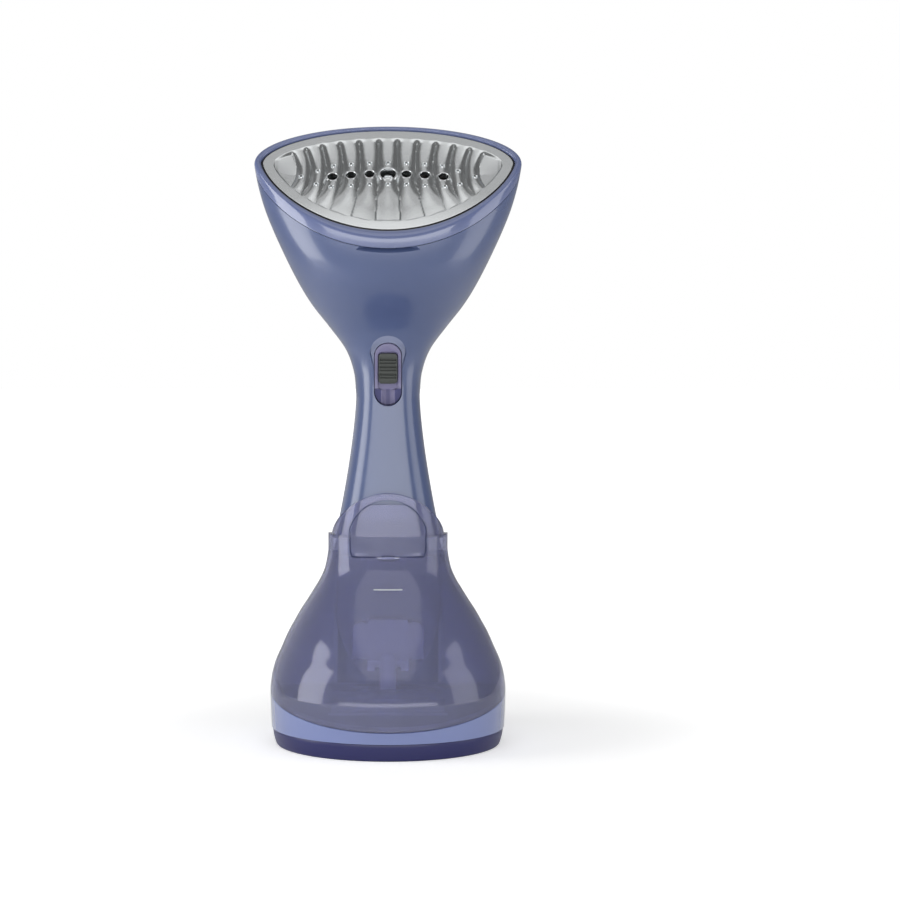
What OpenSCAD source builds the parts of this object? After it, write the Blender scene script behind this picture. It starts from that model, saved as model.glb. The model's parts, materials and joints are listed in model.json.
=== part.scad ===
// Handheld garment steamer with a lift-off water tank.
// Millimetres. The soleplate, the trigger and the tank face -Y, up is +Z, and the middle of the foot is the origin.

/* [Head] */
// Half the width of the head at its widest chord
head_half_width = 71.5; // [66:0.5:77]
// Height of that chord above the floor
chord_z = 312.4; // [300:0.5:325]
// Where the chord lies from front to back
chord_y = -7.5; // [-12:0.5:-4]
// How far the head reaches above its chord, in the plane of the soleplate
head_up = 27.7; // [25:0.1:31]
// How far the head reaches below its chord, in the plane of the soleplate
head_down = 56; // [52:0.5:60]
// Lean of the soleplate back from the horizontal
plate_tilt = 48; // [42:1:54]

/* [Handle] */
// Height of the narrowest part of the handle
neck_z = 188; // [182:0.5:194]
// Half the width of the handle there
neck_half_width = 17.3; // [16.5:0.1:19]
// Half the depth of the handle there
neck_half_depth = 19.5; // [18.5:0.1:21]
// Half the width of the handle where it meets the tank
handle_half_width = 28.3; // [27:0.1:29.5]
// Half the depth of the handle where it meets the tank
handle_half_depth = 22; // [21:0.1:23]
// Distance of the handle's middle behind the middle of the foot
handle_y = 14; // [12:0.5:16]
// Thickness of the housing wall
wall = 2.4; // [2:0.1:2.8]

/* [Tank] */
// Height of the flat shoulders of the tank
shoulder_z = 113; // [111:0.5:116]
// Half the width over the shoulders
shoulder_half_width = 32.6; // [32:0.1:33.5]
// How far the arched tab rises above the shoulders
tab_rise = 23; // [20:0.5:26]
// Height of the tank's ceiling
ceiling_z = 101; // [99:0.5:103]
// Thickness of the tank wall
tank_wall = 2; // [1.6:0.1:2.4]
// Gap between the tank and the housing
tank_gap = 0.35; // [0.3:0.05:0.5]
// How far the tank is drawn off, up and forward
tank_travel = 95; // [90:1:110]
// Half the width of the filling flap
flap_half_width = 19.5; // [18:0.5:21]
// Height of the filling flap
flap_height = 27; // [25:0.5:28]

/* [Base] */
// Half the width of the base at its widest
base_half_width = 63.7; // [61:0.1:66]
// Half the depth of the base at its widest
base_half_depth = 61; // [59:0.5:63]
// Height of the widest part of the base
base_z = 26; // [24:0.5:28]
// Height of the deck under the tank, at the middle of the base
deck_z = 30; // [29:0.5:32]
// Fall of the deck towards the front
deck_slope = 13.5; // [12:0.5:15]
// Height of the foot
foot_z = 9.2; // [8.5:0.1:10]

/* [Soleplate] */
// How much narrower the soleplate is than the head, at each side
rim_share = 5; // [4.4:0.1:6]
// Thickness of the soleplate
plate_thick = 5; // [4.6:0.1:5.6]
// Width of the flat border round the flutes
border = 5.2; // [4.5:0.1:6]
// Distance between neighbouring flutes along the middle row
rib_pitch = 9.8; // [9.4:0.1:10.1]
// Depth of the flutes at the row of steam holes
flute_depth = 1.9; // [1.6:0.1:2.1]
// Radius of the middle steam hole
main_hole_r = 4.1; // [3.6:0.1:4.4]
// Radius of the other steam holes
steam_hole_r = 2.3; // [2:0.1:2.5]
// Radius of the countersinks above and below the holes
dimple_r = 1.4; // [1.2:0.1:1.6]

/* [Controls] */
// Width of the trigger
trigger_width = 14.2; // [13:0.1:15]
// Length of the trigger
trigger_length = 33.8; // [32:0.2:36]
// How far the trigger can be pressed
trigger_travel = 3; // [2.5:0.1:3.5]
// Width of the ribbed lock
lock_width = 10; // [9:0.1:10.6]
// Length of the ribbed lock
lock_length = 16.2; // [15:0.1:17]
// How far the lock slides down
lock_travel = 6; // [5:0.5:6.5]
// Running clearance round the controls
run_gap = 0.4; // [0.3:0.05:0.5]
// How far the tank's valve lifts
valve_lift = 2; // [1.5:0.1:2.5]

/* [Hidden] */
$fn = 48;

periwinkle = [0.42, 0.45, 0.62];
navy = [0.2, 0.2, 0.36];
mauve = [0.45, 0.43, 0.58];
silver = [0.78, 0.79, 0.8];
dark = [0.1, 0.1, 0.12];
clear_violet = [0.45, 0.44, 0.62, 0.6];

// ---- Curves ----
function sgn(x) = x < 0 ? -1 : 1;
function pw(x, e) = abs(x) < 1e-9 ? 0 : sgn(x) * pow(abs(x), e);
function clamp(x, a, b) = min(max(x, a), b);
function ease(x) = let (u = clamp(x, 0, 1)) u * u * (3 - 2 * u);
function slope(L, i) = let (a = max(i - 1, 0), b = min(i + 1, len(L) - 1))
  (L[b][1] - L[a][1]) / (L[b][0] - L[a][0]);
function seg(L, u, i = 0) = i >= len(L) - 2 || u <= L[i + 1][0] ? i : seg(L, u, i + 1);
function curve(L, u) = let (v = clamp(u, L[0][0], L[len(L) - 1][0]), i = seg(L, v),
    h = L[i + 1][0] - L[i][0], t = (v - L[i][0]) / h, a = slope(L, i) * h, b = slope(L, i + 1) * h)
  (2 * t * t * t - 3 * t * t + 1) * L[i][1] + (t * t * t - 2 * t * t + t) * a
  + (3 * t * t - 2 * t * t * t) * L[i + 1][1] + (t * t * t - t * t) * b;

// Share of the way from the neck's width to the head's, by share of the way up
flare = [[0, 0], [0.1, 0.022], [0.2, 0.102], [0.3, 0.264], [0.4, 0.438], [0.5, 0.574],
  [0.65, 0.74], [0.8, 0.886], [0.9, 0.955], [1, 1]];
// The same for the front of the head, and for its back
front_flare = [[0, 0], [0.1, 0], [0.2, 0.03], [0.3, 0.12], [0.4, 0.26], [0.5, 0.42], [0.6, 0.57],
  [0.7, 0.71], [0.8, 0.83], [0.9, 0.93], [1, 1]];
back_swell = [[0, 0], [0.2, 0.06], [0.4, 0.5], [0.6, 1.25], [0.7, 1.5], [0.8, 1.55], [0.9, 1.36], [1, 1]];
// Share of the way from the shoulder's width to the base's, by share of the way up the bell
bell_share = [[0, 1], [0.05, 0.999], [0.15, 0.972], [0.24, 0.91], [0.33, 0.81], [0.42, 0.71],
  [0.5, 0.6], [0.58, 0.484], [0.65, 0.368], [0.72, 0.257], [0.79, 0.15], [0.86, 0.07],
  [0.93, 0.026], [1, 0]];
bell_top = shoulder_z - 9;

function share(z) = z < base_z ? 1 - 0.045 * pow((base_z - z) / base_z, 1.5) : curve(bell_share, (z - base_z) / (bell_top - base_z));
function bell_w(z) = shoulder_half_width + (base_half_width - shoulder_half_width) * share(z);
skirt_semi = handle_half_depth + tank_wall + 2 * tank_gap + 0.2;
function bell_f(z) = skirt_semi + (base_half_depth - skirt_semi) * share(z);
function bell_b(z) = handle_half_depth + (base_half_depth - handle_half_depth) * share(z);
// The tank and the housing meet on one plane, which leans back as it rises
function split_y(z) = handle_y * clamp((z - deck_z) / (bell_top - deck_z), 0, 1);
lean = atan(handle_y / (bell_top - deck_z));
function deck(y) = deck_z + y * tan(deck_slope);

function up_share(q) = clamp((q - neck_z) / (chord_z - neck_z), 0, 1);
function down_share(q) = pow(clamp((neck_z - q) / (neck_z - shoulder_z), 0, 1), 1.45);
function mid_y(q) = q <= neck_z ? handle_y : handle_y + (chord_y - handle_y) * ease(up_share(q));
function tilt(q) = plate_tilt * ease(up_share(q));
function half_w(q) = q <= neck_z ? neck_half_width + (handle_half_width - neck_half_width) * down_share(q)
  : neck_half_width + (head_half_width - neck_half_width) * curve(flare, up_share(q));
function half_f(q) = q <= neck_z ? neck_half_depth + (handle_half_depth - neck_half_depth) * down_share(q)
  : neck_half_depth + (head_down - neck_half_depth) * curve(front_flare, up_share(q));
function half_b(q) = q <= neck_z ? neck_half_depth + (handle_half_depth - neck_half_depth) * down_share(q)
  : neck_half_depth + (head_up - neck_half_depth) * curve(back_swell, up_share(q));
ex_handle = 0.84;
ev_handle = 0.78;
function ex(q) = ex_handle + (1 - ex_handle) * up_share(q);
function ef(q) = ev_handle + (1.5 - ev_handle) * up_share(q);
function eb(q) = 0.86 + (0.98 - 0.86) * up_share(q);

// A point of the handle or the head: q is the height of the section's widest points, a the angle round it
function body_pt(q, a, inset = 0, fr = -1) = let (c = cos(a), s = sin(a), t = tilt(q),
    f = fr < 0 ? half_f(q) : fr,
    v = s >= 0 ? (half_b(q) - inset) * pw(s, eb(q)) : (f - inset) * pw(s, ef(q)))
  [(half_w(q) - inset) * pw(c, ex(q)), mid_y(q) + v * cos(t), q + v * sin(t)];
// The front of the handle steps back behind the filling flap, down to the column
col_semi = 11;
recess_top = shoulder_z + 10;
recess_low = ceiling_z + 1.5;
function col_f(q) = half_f(q) + (col_semi - half_f(q)) * ease((recess_top - q) / (recess_top - recess_low));
function bell_pt(z, a, inset = 0) = let (c = cos(a), s = sin(a), k = share(z),
    e = 0.84 + 0.16 * k,
    v = s >= 0 ? (bell_b(z) - inset) * pw(s, e) : (bell_f(z) - inset) * pw(s, e))
  [(bell_w(z) - inset) * pw(c, e), split_y(z) + v, z];
// The back of the housing blends from the bell into the handle without the tank's shoulder
function rear_pt(z, a, inset = 0) = z >= shoulder_z ? body_pt(z, a, inset) : let (c = cos(a), s = sin(a),
    k = share(z), e = 0.84 + 0.16 * k, g = ease((z - (bell_top - 10)) / 19),
    w = bell_w(z) + (handle_half_width - shoulder_half_width) * g)
  [(w - inset) * pw(c, e + (ex_handle - e) * g), split_y(z) + (bell_b(z) - inset) * pw(s, e + (eb(z) - e) * g), z];
function rear_w(z) = rear_pt(z, 0)[0];

// ---- Solids from rows of points ----
function flat(L) = [for (l = L) each l];
function quad(a, b, c, d) = [[a, b, c], [a, c, d]];
// A wall between two grids of points with the same rows and columns. wrap joins the last column to the first.
module skin(outer, inner, wrap = false) {
  n = len(outer); m = len(outer[0]); N = n * m; e = wrap ? m - 1 : m - 2;
  o = function (i, j) i * m + (j % m);
  p = function (i, j) N + i * m + (j % m);
  polyhedron(points = concat(flat(outer), flat(inner)), faces = concat(
    [for (i = [0:n - 2]) for (j = [0:e]) each quad(o(i, j), o(i + 1, j), o(i + 1, j + 1), o(i, j + 1))],
    [for (i = [0:n - 2]) for (j = [0:e]) each quad(p(i, j), p(i, j + 1), p(i + 1, j + 1), p(i + 1, j))],
    [for (j = [0:e]) each quad(o(0, j), o(0, j + 1), p(0, j + 1), p(0, j))],
    [for (j = [0:e]) each quad(o(n - 1, j), p(n - 1, j), p(n - 1, j + 1), o(n - 1, j + 1))],
    wrap ? [] : [for (i = [0:n - 2]) each quad(o(i, 0), p(i, 0), p(i + 1, 0), o(i + 1, 0))],
    wrap ? [] : [for (i = [0:n - 2]) each quad(o(i, m - 1), o(i + 1, m - 1), p(i + 1, m - 1), p(i, m - 1))]), convexity = 8);
}
// A closed band: each row goes all the way round, and the rows close on themselves
module band(rows) {
  n = len(rows); m = len(rows[0]);
  o = function (i, j) (i % n) * m + (j % m);
  polyhedron(points = flat(rows), faces = [for (i = [0:n - 1]) for (j = [0:m - 1])
    each quad(o(i, j), o(i + 1, j), o(i + 1, j + 1), o(i, j + 1))], convexity = 8);
}
// A full body from closed rows, flat at both ends
module stack(rows) {
  n = len(rows); m = len(rows[0]);
  o = function (i, j) i * m + (j % m);
  polyhedron(points = flat(rows), faces = concat(
    [for (i = [0:n - 2]) for (j = [0:m - 1]) each quad(o(i, j), o(i + 1, j), o(i + 1, j + 1), o(i, j + 1))],
    [for (j = [1:m - 2]) [0, j, j + 1]], [for (j = [1:m - 2]) [o(n - 1, 0), o(n - 1, j + 1), o(n - 1, j)]]), convexity = 8);
}
// A coil spring along Z
module coil(r, wire, height, turns) {
  n = 14; k = 6; N = round(turns * n);
  pts = [for (i = [0:N]) for (j = [0:k - 1]) let (a = 360 * i / n, b = 360 * j / k,
    rr = r + wire * cos(b)) [rr * cos(a), rr * sin(a), wire + (height - 2 * wire) * i / N + wire * sin(b)]];
  faces = concat([for (i = [0:N - 1]) for (j = [0:k - 1]) each
      quad(i * k + j, (i + 1) * k + j, (i + 1) * k + (j + 1) % k, i * k + (j + 1) % k)],
    [for (j = [1:k - 2]) [0, j, j + 1]], [for (j = [1:k - 2]) [N * k, N * k + j + 1, N * k + j]]);
  polyhedron(points = pts, faces = faces, convexity = 10);
}
module at_plate() { translate([0, chord_y, chord_z]) rotate([plate_tilt, 0, 0]) children(); }
function lens(w, u, d, eu = 1.12, el = 1.38, n = 96) = [for (i = [0:n - 1]) let (a = 360 * i / n, s = sin(a))
  [w * cos(a), s >= 0 ? u * pw(s, eu) : d * pw(s, el)]];
function plate_pt(w, u, d, eu, el, a, n) = let (s = sin(a), v = s >= 0 ? u * pw(s, eu) : d * pw(s, el))
  [w * cos(a), chord_y + v * cos(plate_tilt) - n * sin(plate_tilt), chord_z + v * sin(plate_tilt) + n * cos(plate_tilt)];

// ---- Driving places worked out from the sizes ----
seam_q = chord_z - 0.05 * (chord_z - neck_z);
cols = 20;
arc_front = [for (j = [0:cols]) 180 + 180 * j / cols];
arc_rear = [for (j = [0:cols]) 180 * j / cols];
arc_full = [for (j = [0:63]) 360 * j / 64];
handle_rows = [for (i = [0:7]) recess_top + (neck_z - recess_top) * i / 7];
head_rows = [for (i = [1:13]) neck_z + (seam_q - neck_z) * i / 13];

// Plate outline
plate_half_width = head_half_width - rim_share;
plate_up = head_up - 3.1;
plate_down = head_down - 7.4;
plate_top_n = -0.4;
plate_low_n = plate_top_n - plate_thick;
plate_edge_n = plate_top_n - 3.3;

// Trigger frame: its axis stands square to the front of the handle
trig_mid = neck_z + 11.8;
trig_lean = 8;
trig_face_y = -6.6;
module at_trigger() { translate([0, trig_face_y, trig_mid]) rotate([90 + trig_lean, 0, 0]) children(); }
module capsule(w, l, h) {
  linear_extrude(height = h) union() {
    translate([0, l / 2 - w / 2]) circle(d = w);
    translate([0, -l / 2 + w / 2]) circle(d = w);
    square([w, l - w], center = true);
  }
}
module rounded(w, l, r) {
  union() {
    square([w - 2 * r, l], center = true);
    square([w, l - 2 * r], center = true);
    for (i = [-1, 1], j = [-1, 1]) translate([i * (w / 2 - r), j * (l / 2 - r)]) circle(r = r);
  }
}

// ---- Places of the inner pieces ----
plate_rows = [[0, 0, 1, 7.7, -8.3], [1, -0.2, 1, 7.5, -8.3], [2, -1, 1, 6.7, -9.2], [3, -2.2, 1, 5.5, -10.1]];
hole_v = -6.7;
gasket_t = 0.6;
chamber_n = plate_low_n - gasket_t;
chamber_h = 10;
flange_h = 4.5;
chamber_low = chamber_n - chamber_h;
flange_low = chamber_n - flange_h;
chamber_w = plate_half_width - 19.5;
chamber_up = plate_up - 18;
chamber_down = plate_down - 9.2;
core_w = chamber_w - 12;
core_up = chamber_up - 1.2;
core_down = chamber_down - 10.2;
floor_low = flange_low - 2;
tray_low = chamber_low - 8;
element_v = -12;
element_r = 3.2;
element_leg = 8;
pump_y = handle_y + 5;
hose_r = 4;
hose_bore = 2.5;
pump_top = shoulder_z + 17;
pump_low = deck_z + 14;
coil_r = pump_y - (handle_y - col_semi + wall) - 0.5;
dock_y = -14;
screw_r = 1.5;
screw_at = [[11, neck_z - 28], [21.5, deck_z + 18]];
module at_posts(angles, inward = 0) {
  for (a = angles) translate([(base_half_width - 10.2 - inward) * cos(a), (base_half_depth - 7.5 - inward) * sin(a), 0]) rotate([0, 0, a]) children();
}
posts = [40, 140, 220, 320];
spring_y = 9;
switch_y = -8;
trig_back = -6.8;
seat_n = -13.7;

// ================= Housing =================
function col_row(q, inset) = [for (a = arc_front) let (p = body_pt(shoulder_z, a, inset, col_f(q))) [p[0], p[1], q]];
function front_rows(inset) = concat(
  [for (q = [deck_z, deck_z + 34, recess_low, recess_low + 3.4, recess_low + 6.8, shoulder_z]) col_row(q, inset)],
  [for (q = [shoulder_z + 3.4, shoulder_z + 6.8]) [for (a = arc_front) body_pt(q, a, inset, col_f(q))]],
  [for (q = handle_rows) [for (a = arc_front) body_pt(q, a, inset)]],
  [for (q = head_rows) [for (a = arc_front) body_pt(q, a, inset)]]);

// Front half of the handle and head, with the column behind the tank and the wings of the tank bay
module front_shell() {
  color(periwinkle) difference() {
    union() {
      skin(front_rows(0), front_rows(wall));
      bay_wing(1);
      bay_wing(-1);
      for (p = screw_at, i = [-1, 1]) let (f = p[1] > ceiling_z ? half_f(p[1]) : col_semi)
        translate([i * p[0], handle_y - f + wall - 1 + (p[1] > ceiling_z ? 2.2 : 1), p[1]]) rotate([-90, 0, 0])
          cylinder(r = 3.4, h = f - wall + 0.8 - (p[1] > ceiling_z ? 2.2 : 1));
    }
    // Slot for the trigger
    at_trigger() translate([0, 0, -12]) capsule(trigger_width + 2 * run_gap, trigger_length + 2 * run_gap, 30);
    // Shallow recess under the rim, where a brush clips on
    at_plate() translate([0, -head_down - 33.2, -5.6]) cylinder(r = 36, h = 3.4, $fn = 96);
    for (p = screw_at, i = [-1, 1]) translate([i * p[0], handle_y - 7, p[1]]) rotate([-90, 0, 0]) cylinder(r = screw_r, h = 12);
  }
}
// One side wall of the tank bay, in the plane where tank and housing meet
module bay_wing(side) {
  zs = [for (i = [0:12]) deck_z + 0.8 + (bell_top - 4.8 - deck_z) * i / 12];
  xi = handle_half_width - 1;
  pts = concat([for (z = zs) [side * (rear_w(z) - wall - 0.3), (z - deck_z) / cos(lean)]],
    [[side * xi, (zs[12] - deck_z) / cos(lean)], [side * xi, 0.8]]);
  translate([0, 0.15, deck_z]) rotate([90 - lean, 0, 0]) mirror([0, 0, 1]) linear_extrude(height = wall)
    polygon(pts);
}
// Back half of the handle and head, down to the base
module rear_shell() {
  zs = [for (i = [0:11]) deck_z + 0.2 + (shoulder_z - deck_z - 0.2) * i / 11];
  qs = concat([for (i = [1:7]) shoulder_z + (neck_z - shoulder_z) * i / 7], head_rows);
  color(periwinkle) translate([0, 0.25, 0]) difference() {
    union() {
      skin(concat([for (z = zs) [for (a = arc_rear) rear_pt(z, a)]], [for (q = qs) [for (a = arc_rear) body_pt(q, a)]]),
        concat([for (z = zs) [for (a = arc_rear) rear_pt(z, a, wall)]], [for (q = qs) [for (a = arc_rear) body_pt(q, a, wall)]]));
      // Long sleeves that the screws reach through
      for (p = screw_at, i = [-1, 1]) translate([i * p[0], handle_y, p[1]]) rotate([-90, 0, 0])
        cylinder(r = 3.8, h = sleeve_y(p) - handle_y);
      // Flat pad round the hole for the cord
      translate([0, gland_y + 2, gland_z]) rotate([-90, 0, 0]) cylinder(r = gland_r + 3, h = 5.4);
    }
    for (p = screw_at, i = [-1, 1]) translate([i * p[0], handle_y - 1, p[1]]) rotate([-90, 0, 0]) {
      cylinder(r = screw_r + 0.3, h = 60);
      translate([0, 0, 4]) cylinder(r = 2.9, h = 60);
    }
    // Hole for the cord bush
    translate([0, base_half_depth - 14, gland_z]) rotate([-90, 0, 0]) cylinder(r = gland_r, h = 30);
  }
}
gland_z = deck_z + 12;
gland_r = 5.5;
function rear_e(z) = let (e = 0.84 + 0.16 * share(z)) z >= shoulder_z ? ex_handle : e + (ex_handle - e) * ease((z - (bell_top - 10)) / 19);
function rear_y(x, z) = rear_pt(z, acos(pow(x / rear_w(z), 1 / rear_e(z))))[1];
function sleeve_y(p) = rear_y(p[0] + 3.8, p[1] + 3.8) - 0.4;

// Glossy rim round the soleplate
rim_w = plate_half_width + 1.1;
rim_up = plate_up + 0.7;
rim_down = plate_down + 1.6;
function rim_in(a, n) = plate_pt(rim_w, rim_up, rim_down, 1.1, 1.4, a, n);
function rim_mix(a, f, n) = let (o = plate_pt(head_half_width, head_up, head_down, 0.98, 1.5, a, n), i = rim_in(a, n)) o * (1 - f) + i * f;
module head_bezel() {
  qb = seam_q + 0.25;
  color(periwinkle) band([
    [for (a = arc_full) body_pt(qb, a)],
    [for (a = arc_full) body_pt((qb + chord_z) / 2, a)],
    [for (a = arc_full) body_pt(chord_z - 0.7, a, 0.1)],
    [for (a = arc_full) rim_mix(a, 0.14, 0.35)],
    [for (a = arc_full) rim_mix(a, 0.36, 0.8)],
    [for (a = arc_full) rim_mix(a, 0.64, 0.85)],
    [for (a = arc_full) rim_mix(a, 0.88, 0.55)],
    [for (a = arc_full) rim_mix(a, 1, 0)],
    [for (a = arc_full) rim_mix(a, 1, -3.2)],
    [for (a = arc_full) rim_mix(a, 0.7, -4)],
    [for (a = arc_full) body_pt(qb, a, wall)]]);
}
// Dark silicone ring between the rim and the soleplate
module plate_seal() {
  color(dark) at_plate() translate([0, 0, -3.4]) linear_extrude(height = 2.5) difference() {
    polygon(lens(rim_w - 0.1, rim_up - 0.1, rim_down - 0.15, 1.1, 1.4));
    polygon(lens(plate_half_width + 0.1, plate_up + 0.1, plate_down + 0.1));
  }
}

// ================= Soleplate and heating =================
// One curved flute: nearest the middle and deepest beside the holes, and running out towards both ends
module flute(x, bow, v) {
  tube = 3.3;
  rise = 1 / 300;
  a = atan(1 / bow / rise);
  R = 1 / sqrt(1 / bow / bow + rise * rise);
  translate([x, v, plate_top_n - 0.8 - flute_depth + tube]) rotate([0, 90 - a, 0]) translate([R, 0, 0])
    rotate([0, 0, 180 - 32]) rotate_extrude(angle = 64) translate([R, 0]) circle(r = tube);
}
flute_bows = [[0.5, 760, -4], [1.5, 197, 0], [2.46, 120, 3], [3.36, 103, 4], [4.18, 92, 4], [4.98, 62, 1]];
module soleplate() {
  color(silver) at_plate() difference() {
    union() {
      translate([0, 0, plate_edge_n]) linear_extrude(height = plate_top_n - plate_edge_n)
        polygon(lens(plate_half_width, plate_up, plate_down));
      translate([0, 0, plate_low_n]) linear_extrude(height = plate_edge_n - plate_low_n + 0.5)
        polygon(lens(plate_half_width - 6, plate_up - 5, plate_down - 4));
    }
    intersection() {
      translate([0, 0, plate_low_n + 1]) linear_extrude(height = plate_thick + 4)
        polygon(lens(plate_half_width - border * 1.1, plate_up - border * 1.05, plate_down - border * 1.3));
      union() {
        translate([-90, -90, plate_top_n - 0.8]) cube([180, 180, 9]);
        for (f = flute_bows) {
          flute(f[0] * rib_pitch, f[1], f[2]);
          mirror([1, 0, 0]) flute(f[0] * rib_pitch, f[1], f[2]);
        }
      }
    }
    for (r = plate_rows, i = r[0] == 0 ? [1] : [-1, 1]) {
      translate([i * r[0] * rib_pitch, hole_v + r[1], -9]) cylinder(r = r[0] == 0 ? main_hole_r : steam_hole_r, h = 12);
      dimple(i * (r[0] - (r[0] == 3 ? 0.05 : 0)) * rib_pitch, hole_v + r[3]);
      dimple(i * (r[0] + (r[0] == 3 ? 0.07 : 0)) * rib_pitch, hole_v + r[4]);
    }
    for (i = [-1, 1]) {
      dimple(i * 3.8 * rib_pitch, hole_v + 1.6);
      dimple(i * 3.88 * rib_pitch, hole_v - 8.3);
      dimple(i * 4.7 * rib_pitch, hole_v - 2.7);
    }
    for (p = tray_screw_at) translate([p[0], p[1], plate_low_n - 1]) cylinder(r = 1.25, h = 2.4);
  }
}
tray_screw_at = [[-(chamber_w - 6), -8], [chamber_w - 6, -8], [0, -chamber_down + 3.6]];
// Countersink with a small raised stud in the middle
module dimple(x, v) {
  translate([x, v, plate_top_n - 1.9]) difference() {
    cylinder(r = dimple_r, h = 5);
    cylinder(r = dimple_r / 2, h = 0.9);
  }
}
module chamber_gasket() {
  color([0.75, 0.3, 0.2]) at_plate() translate([0, 0, chamber_n]) linear_extrude(height = gasket_t) difference() {
    polygon(lens(chamber_w - 9, chamber_up - 1.5, chamber_down - 8));
    polygon(lens(chamber_w - 11, chamber_up - 3, chamber_down - 9.5));
  }
}
// Cast block that turns the water to steam: a wide flange under the steam holes and a narrower core for the element
module steam_chamber() {
  color([0.6, 0.61, 0.62]) at_plate() difference() {
    union() {
      translate([0, 0, flange_low]) linear_extrude(height = flange_h) polygon(lens(chamber_w, chamber_up, chamber_down));
      translate([0, 0, chamber_low]) linear_extrude(height = chamber_h - 1) polygon(lens(core_w, core_up, core_down));
    }
    translate([0, 0, chamber_n - 3.2]) linear_extrude(height = 6) difference() {
      polygon(lens(chamber_w - 11, chamber_up - 3, chamber_down - 9.5));
      for (i = [-1, 1]) translate([i * 14, -14]) square([1.6, 16], center = true);
    }
    for (p = tray_screw_at) translate([p[0], p[1], flange_low - 1]) cylinder(r = 1.9, h = flange_h + 2);
    translate([0, element_v, chamber_low - 1]) cylinder(r = 2.55, h = chamber_h);
    element(element_r + 0.1);
    for (i = [-1, 1]) translate([17, element_v + i * element_leg, chamber_low]) rotate([0, 90, 0]) cylinder(r = 1.7, h = 20);
  }
}
module element(r) {
  translate([0, element_v, chamber_low]) {
    for (i = [-1, 1]) translate([-14, i * element_leg, 0]) rotate([0, 90, 0]) cylinder(r = r, h = 32);
    translate([-14, 0, 0]) rotate([0, 0, 90]) rotate_extrude(angle = 180) translate([element_leg, 0]) circle(r = r);
  }
}
module heating_element() {
  color([0.5, 0.5, 0.5]) at_plate() {
    element(element_r);
    for (i = [-1, 1]) translate([17, element_v + i * element_leg, chamber_low]) rotate([0, 90, 0]) cylinder(r = 1.3, h = 5.5);
  }
}
// Heat-resistant tray round the chamber
module insulating_tray() {
  color([0.2, 0.2, 0.2]) at_plate() difference() {
    union() {
      translate([0, 0, floor_low]) linear_extrude(height = plate_low_n - floor_low) polygon(lens(chamber_w + 5, chamber_up + 2.6, chamber_down + 3.6));
      translate([0, 0, tray_low]) linear_extrude(height = floor_low + 1 - tray_low) polygon(lens(core_w + 5, core_up + 2.6, core_down + 3.4));
    }
    translate([0, 0, flange_low]) linear_extrude(height = 40) polygon(lens(chamber_w + 3, chamber_up + 0.8, chamber_down + 1.6));
    translate([0, 0, tray_low + 2]) linear_extrude(height = 40) polygon(lens(core_w + 3, core_up + 0.8, core_down + 1.8));
    for (p = tray_screw_at) translate([p[0], p[1], floor_low - 1]) cylinder(r = 1.9, h = 12);
    translate([0, element_v, tray_low - 1]) cylinder(r = 6, h = 12);
  }
}
module tray_screws() {
  color(silver) at_plate() for (p = tray_screw_at) translate([p[0], p[1], floor_low - 2]) union() {
    cylinder(r = 2.8, h = 2);
    cylinder(r = 1.2, h = plate_low_n + 1.3 - floor_low + 2);
  }
}
module thermostat() {
  color([0.85, 0.82, 0.75]) at_plate() translate([-11, element_v, chamber_low]) mirror([0, 0, 1]) union() {
    cylinder(r = 4.3, h = 1);
    cylinder(r = 4, h = 4);
    for (i = [-1, 1]) translate([-0.4, i * 2.2 - 0.8, 3.8]) cube([0.8, 1.6, 1.8]);
  }
}
module thermal_fuse() {
  color([0.8, 0.8, 0.82]) at_plate() translate([7, element_v, chamber_low - 2]) union() {
    rotate([0, 90, 0]) cylinder(r = 1.9, h = 9);
    translate([-1.5, 0, 0]) rotate([0, 90, 0]) cylinder(r = 0.5, h = 12);
    translate([3, -3.6, -1.2]) cube([3, 7.2, 3.1]);
  }
}
module steam_inlet() {
  color([0.75, 0.65, 0.4]) at_plate() translate([0, element_v, inlet_n]) difference() {
    union() {
      cylinder(r = 2.45, h = 23.5);
      translate([0, 0, 13.5]) cylinder(r = 4.5, h = 3.5, $fn = 6);
    }
    translate([0, 0, -1]) cylinder(r = 1.5, h = 30);
  }
}

// ================= Controls =================
module trigger() {
  color(mauve) at_trigger() difference() {
    union() {
      translate([0, 0, trig_back]) capsule(trigger_width, trigger_length, 1.3 - trig_back);
      translate([0, 0, trig_back]) capsule(trigger_width + 3, trigger_length + 3, 1.8);
      translate([0, spring_y, trig_back - 2.2]) cylinder(r = 2.6, h = 2.4);
      translate([0, switch_y, trig_back - 3.1]) cylinder(r = 2, h = 3.3);
    }
    // Hollow of the face for the finger
    translate([0, -1, 41.2]) rotate([0, 90, 0]) cylinder(r = 40.6, h = 40, center = true, $fn = 96);
    // Slot for the lock, wider underneath
    translate([0, lock_mid - lock_travel / 2, 0]) {
      translate([0, 0, -1.1]) linear_extrude(height = 9) rounded(lock_width + 0.7, lock_length + lock_travel + 0.7, 2.2);
      translate([0, 0, -2.7]) linear_extrude(height = 1.61) rounded(lock_width + 1.9, lock_length + lock_travel + 1.9, 2.2);
    }
  }
}
lock_mid = 3.2;
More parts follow.
